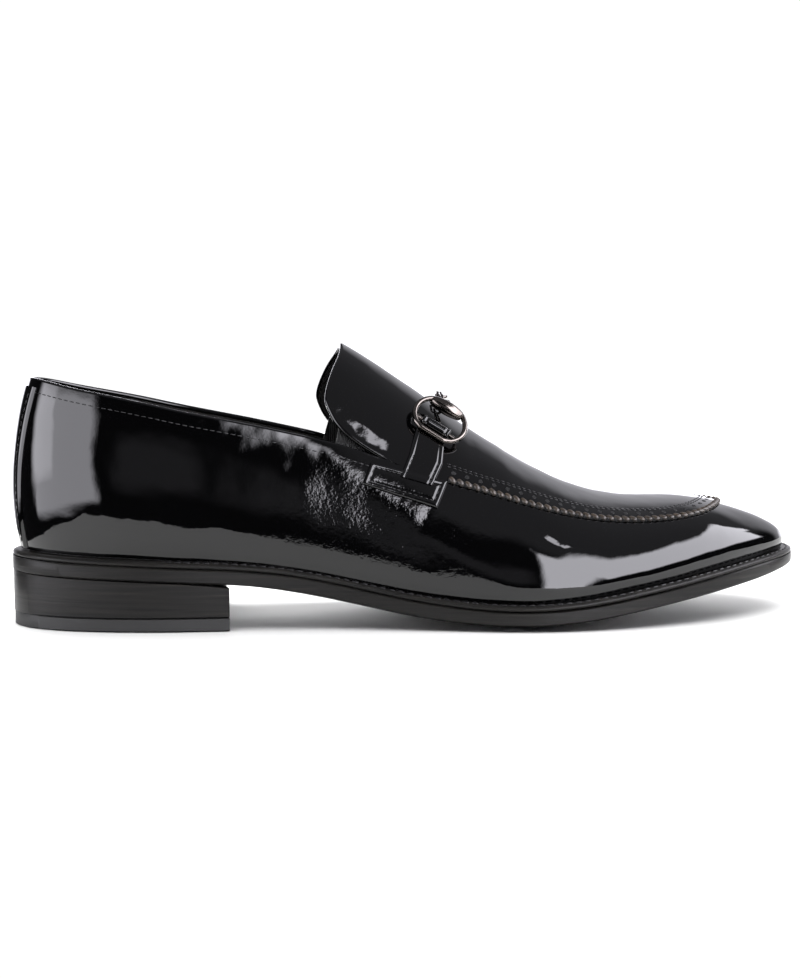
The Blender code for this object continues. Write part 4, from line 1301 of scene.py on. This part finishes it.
def panel(tree, way, azimuth, elevation, roll, wide, high, soft, strength):
    """A soft-edged light panel on the studio's wall. Its half sizes and border are tangents of angles."""
    a, e = math.radians(azimuth), math.radians(elevation)
    centre = Vector((math.sin(a) * math.cos(e), -math.cos(a) * math.cos(e), math.sin(e)))
    turned = Quaternion(centre, -math.radians(roll))
    across = turned @ Vector((math.cos(a), math.sin(a), 0))
    up = centre.cross(across)
    ahead = facing(tree, way, centre)
    value = sums(tree, "GREATER_THAN", ahead, 0.05)
    depth = sums(tree, "MAXIMUM", ahead, 0.05)
    for axis, half in ((across, wide), (up, high)):
        off = sums(tree, "DIVIDE", facing(tree, way, axis), depth)
        off = sums(tree, "ABSOLUTE", off, 0.0)
        inside = fade(tree, off, half - soft, half + soft, 1.0, 0.0)
        value = sums(tree, "MULTIPLY", value, inside)
    return sums(tree, "MULTIPLY", value, strength)


def make_floor():
    (left, front), (right, back) = FLOOR
    corners = [(left, front, 0), (right, front, 0), (right, back, 0), (left, back, 0)]
    mesh = bpy.data.meshes.new("floor")
    mesh.from_pydata(corners, [], [(0, 1, 2, 3)])
    mesh.materials.append(new_material("floor", {"Base Color": (0.86, 0.86, 0.86, 1), "Roughness": 0.6})[0])
    ground = bpy.data.objects.new("floor", mesh)
    ground.location = (0, 0, -0.0002)
    bpy.context.scene.collection.objects.link(ground)


def make_lamp(name, place, wide, high, energy):
    """A broad lamp that lights the scene and isn't mirrored in it."""
    data = bpy.data.lights.new(name, "AREA")
    data.shape = "RECTANGLE"
    data.size, data.size_y = wide, high
    data.energy = energy
    made = bpy.data.objects.new(name, data)
    made.location = place
    made.visible_camera = False
    made.visible_glossy = False
    bpy.context.scene.collection.objects.link(made)
    return made


def make_setting():
    """The floor, two lamps, and panels that only glossy rays see. The camera sees white behind the shoe."""
    make_floor()
    make_lamp("overhead", (0, 0, 2.0), 3.0, 3.0, OVERHEAD)
    lamp = make_lamp("back_light", BACK_PLACE, 2.4, 0.5, BACK_LIGHT)
    lamp.rotation_euler = Vector(BACK_PLACE).to_track_quat("Z", "Y").to_euler()
    world = bpy.data.worlds.new("studio")
    bpy.context.scene.world = world
    bpy.context.scene.view_settings.view_transform = "Standard"
    world.use_nodes = True
    tree = world.node_tree
    way = tree.nodes.new("ShaderNodeTexCoord").outputs["Generated"]
    path = tree.nodes.new("ShaderNodeLightPath")
    light = 0.0
    for row in PANELS:
        light = sums(tree, "MAXIMUM", panel(tree, way, *row), light)
    light = sums(tree, "MULTIPLY", light, path.outputs["Is Glossy Ray"])
    light = sums(tree, "ADD", light, ROOM)
    studio, pale = tree.nodes["Background"], tree.nodes.new("ShaderNodeBackground")
    studio.inputs["Color"].default_value = (*PANEL_TINT, 1)
    tree.links.new(light, studio.inputs["Strength"])
    pale.inputs["Color"].default_value = (1, 1, 1, 1)
    pale.inputs["Strength"].default_value = WHITE
    mix = tree.nodes.new("ShaderNodeMixShader")
    tree.links.new(path.outputs["Is Camera Ray"], mix.inputs["Fac"])
    tree.links.new(studio.outputs["Background"], mix.inputs[1])
    tree.links.new(pale.outputs["Background"], mix.inputs[2])
    tree.links.new(mix.outputs["Shader"], tree.nodes["World Output"].inputs["Surface"])


def main():
    make_camera()
    make_setting()
    shine = patent("patent_leather")
    lining = dull_leather("lining_leather", (0.020, 0.019, 0.018), 0.55)
    edge = sole_edge()
    rubber = dull_leather("heel_rubber", (0.012, 0.012, 0.012), 0.55, 900, 0.00003)
    brown = braid_finish()
    metal = gunmetal()
    black_thread = thread_finish("black_thread", (0.004, 0.004, 0.0045), 0.5)
    # matte black for the pinholes and for the lacing's cord: painted shade
    dark = thread_finish("shade_black", (0.001, 0.001, 0.001), 0.9)
    make_quarters(patent("patent_vamp", True), lining)
    make_apron(shine, lining)
    make_collar_edge(shine)
    throat = throat_turn() - 0.05
    turns = np.linspace(-throat, throat, 500)
    row, ups = wall_row(turns, TOPLINE_STITCH_DROP)
    stitches("topline_thread", row, ups, TOPLINE_STITCH_PITCH, black_thread, "patent_leather")
    make_lacing(brown, dark)
    row, ups = apron_row(HOLE_INSET, 500)
    make_holes(row, ups, "apron_holes", dark, black_thread)
    for name, inset in APRON_STITCH_INSETS:
        row, ups = apron_row(inset, 600)
        name = "apron_thread_" + name
        stitches(name, row, ups, APRON_STITCH_PITCH, black_thread, "patent_leather", THICK_THREAD)
    make_backstay(shine, black_thread)
    make_gores(elastic())
    ends = {}
    for side, word in ((-1, "lateral"), (1, "medial")):
        make_strap(side, word, shine, black_thread)
        ends[side] = make_ring(side, word, metal)
    make_chain(ends[-1], ends[1], metal)
    make_welt(edge, black_thread)
    make_sole(edge, rubber)
    make_footbed(lining)


main()
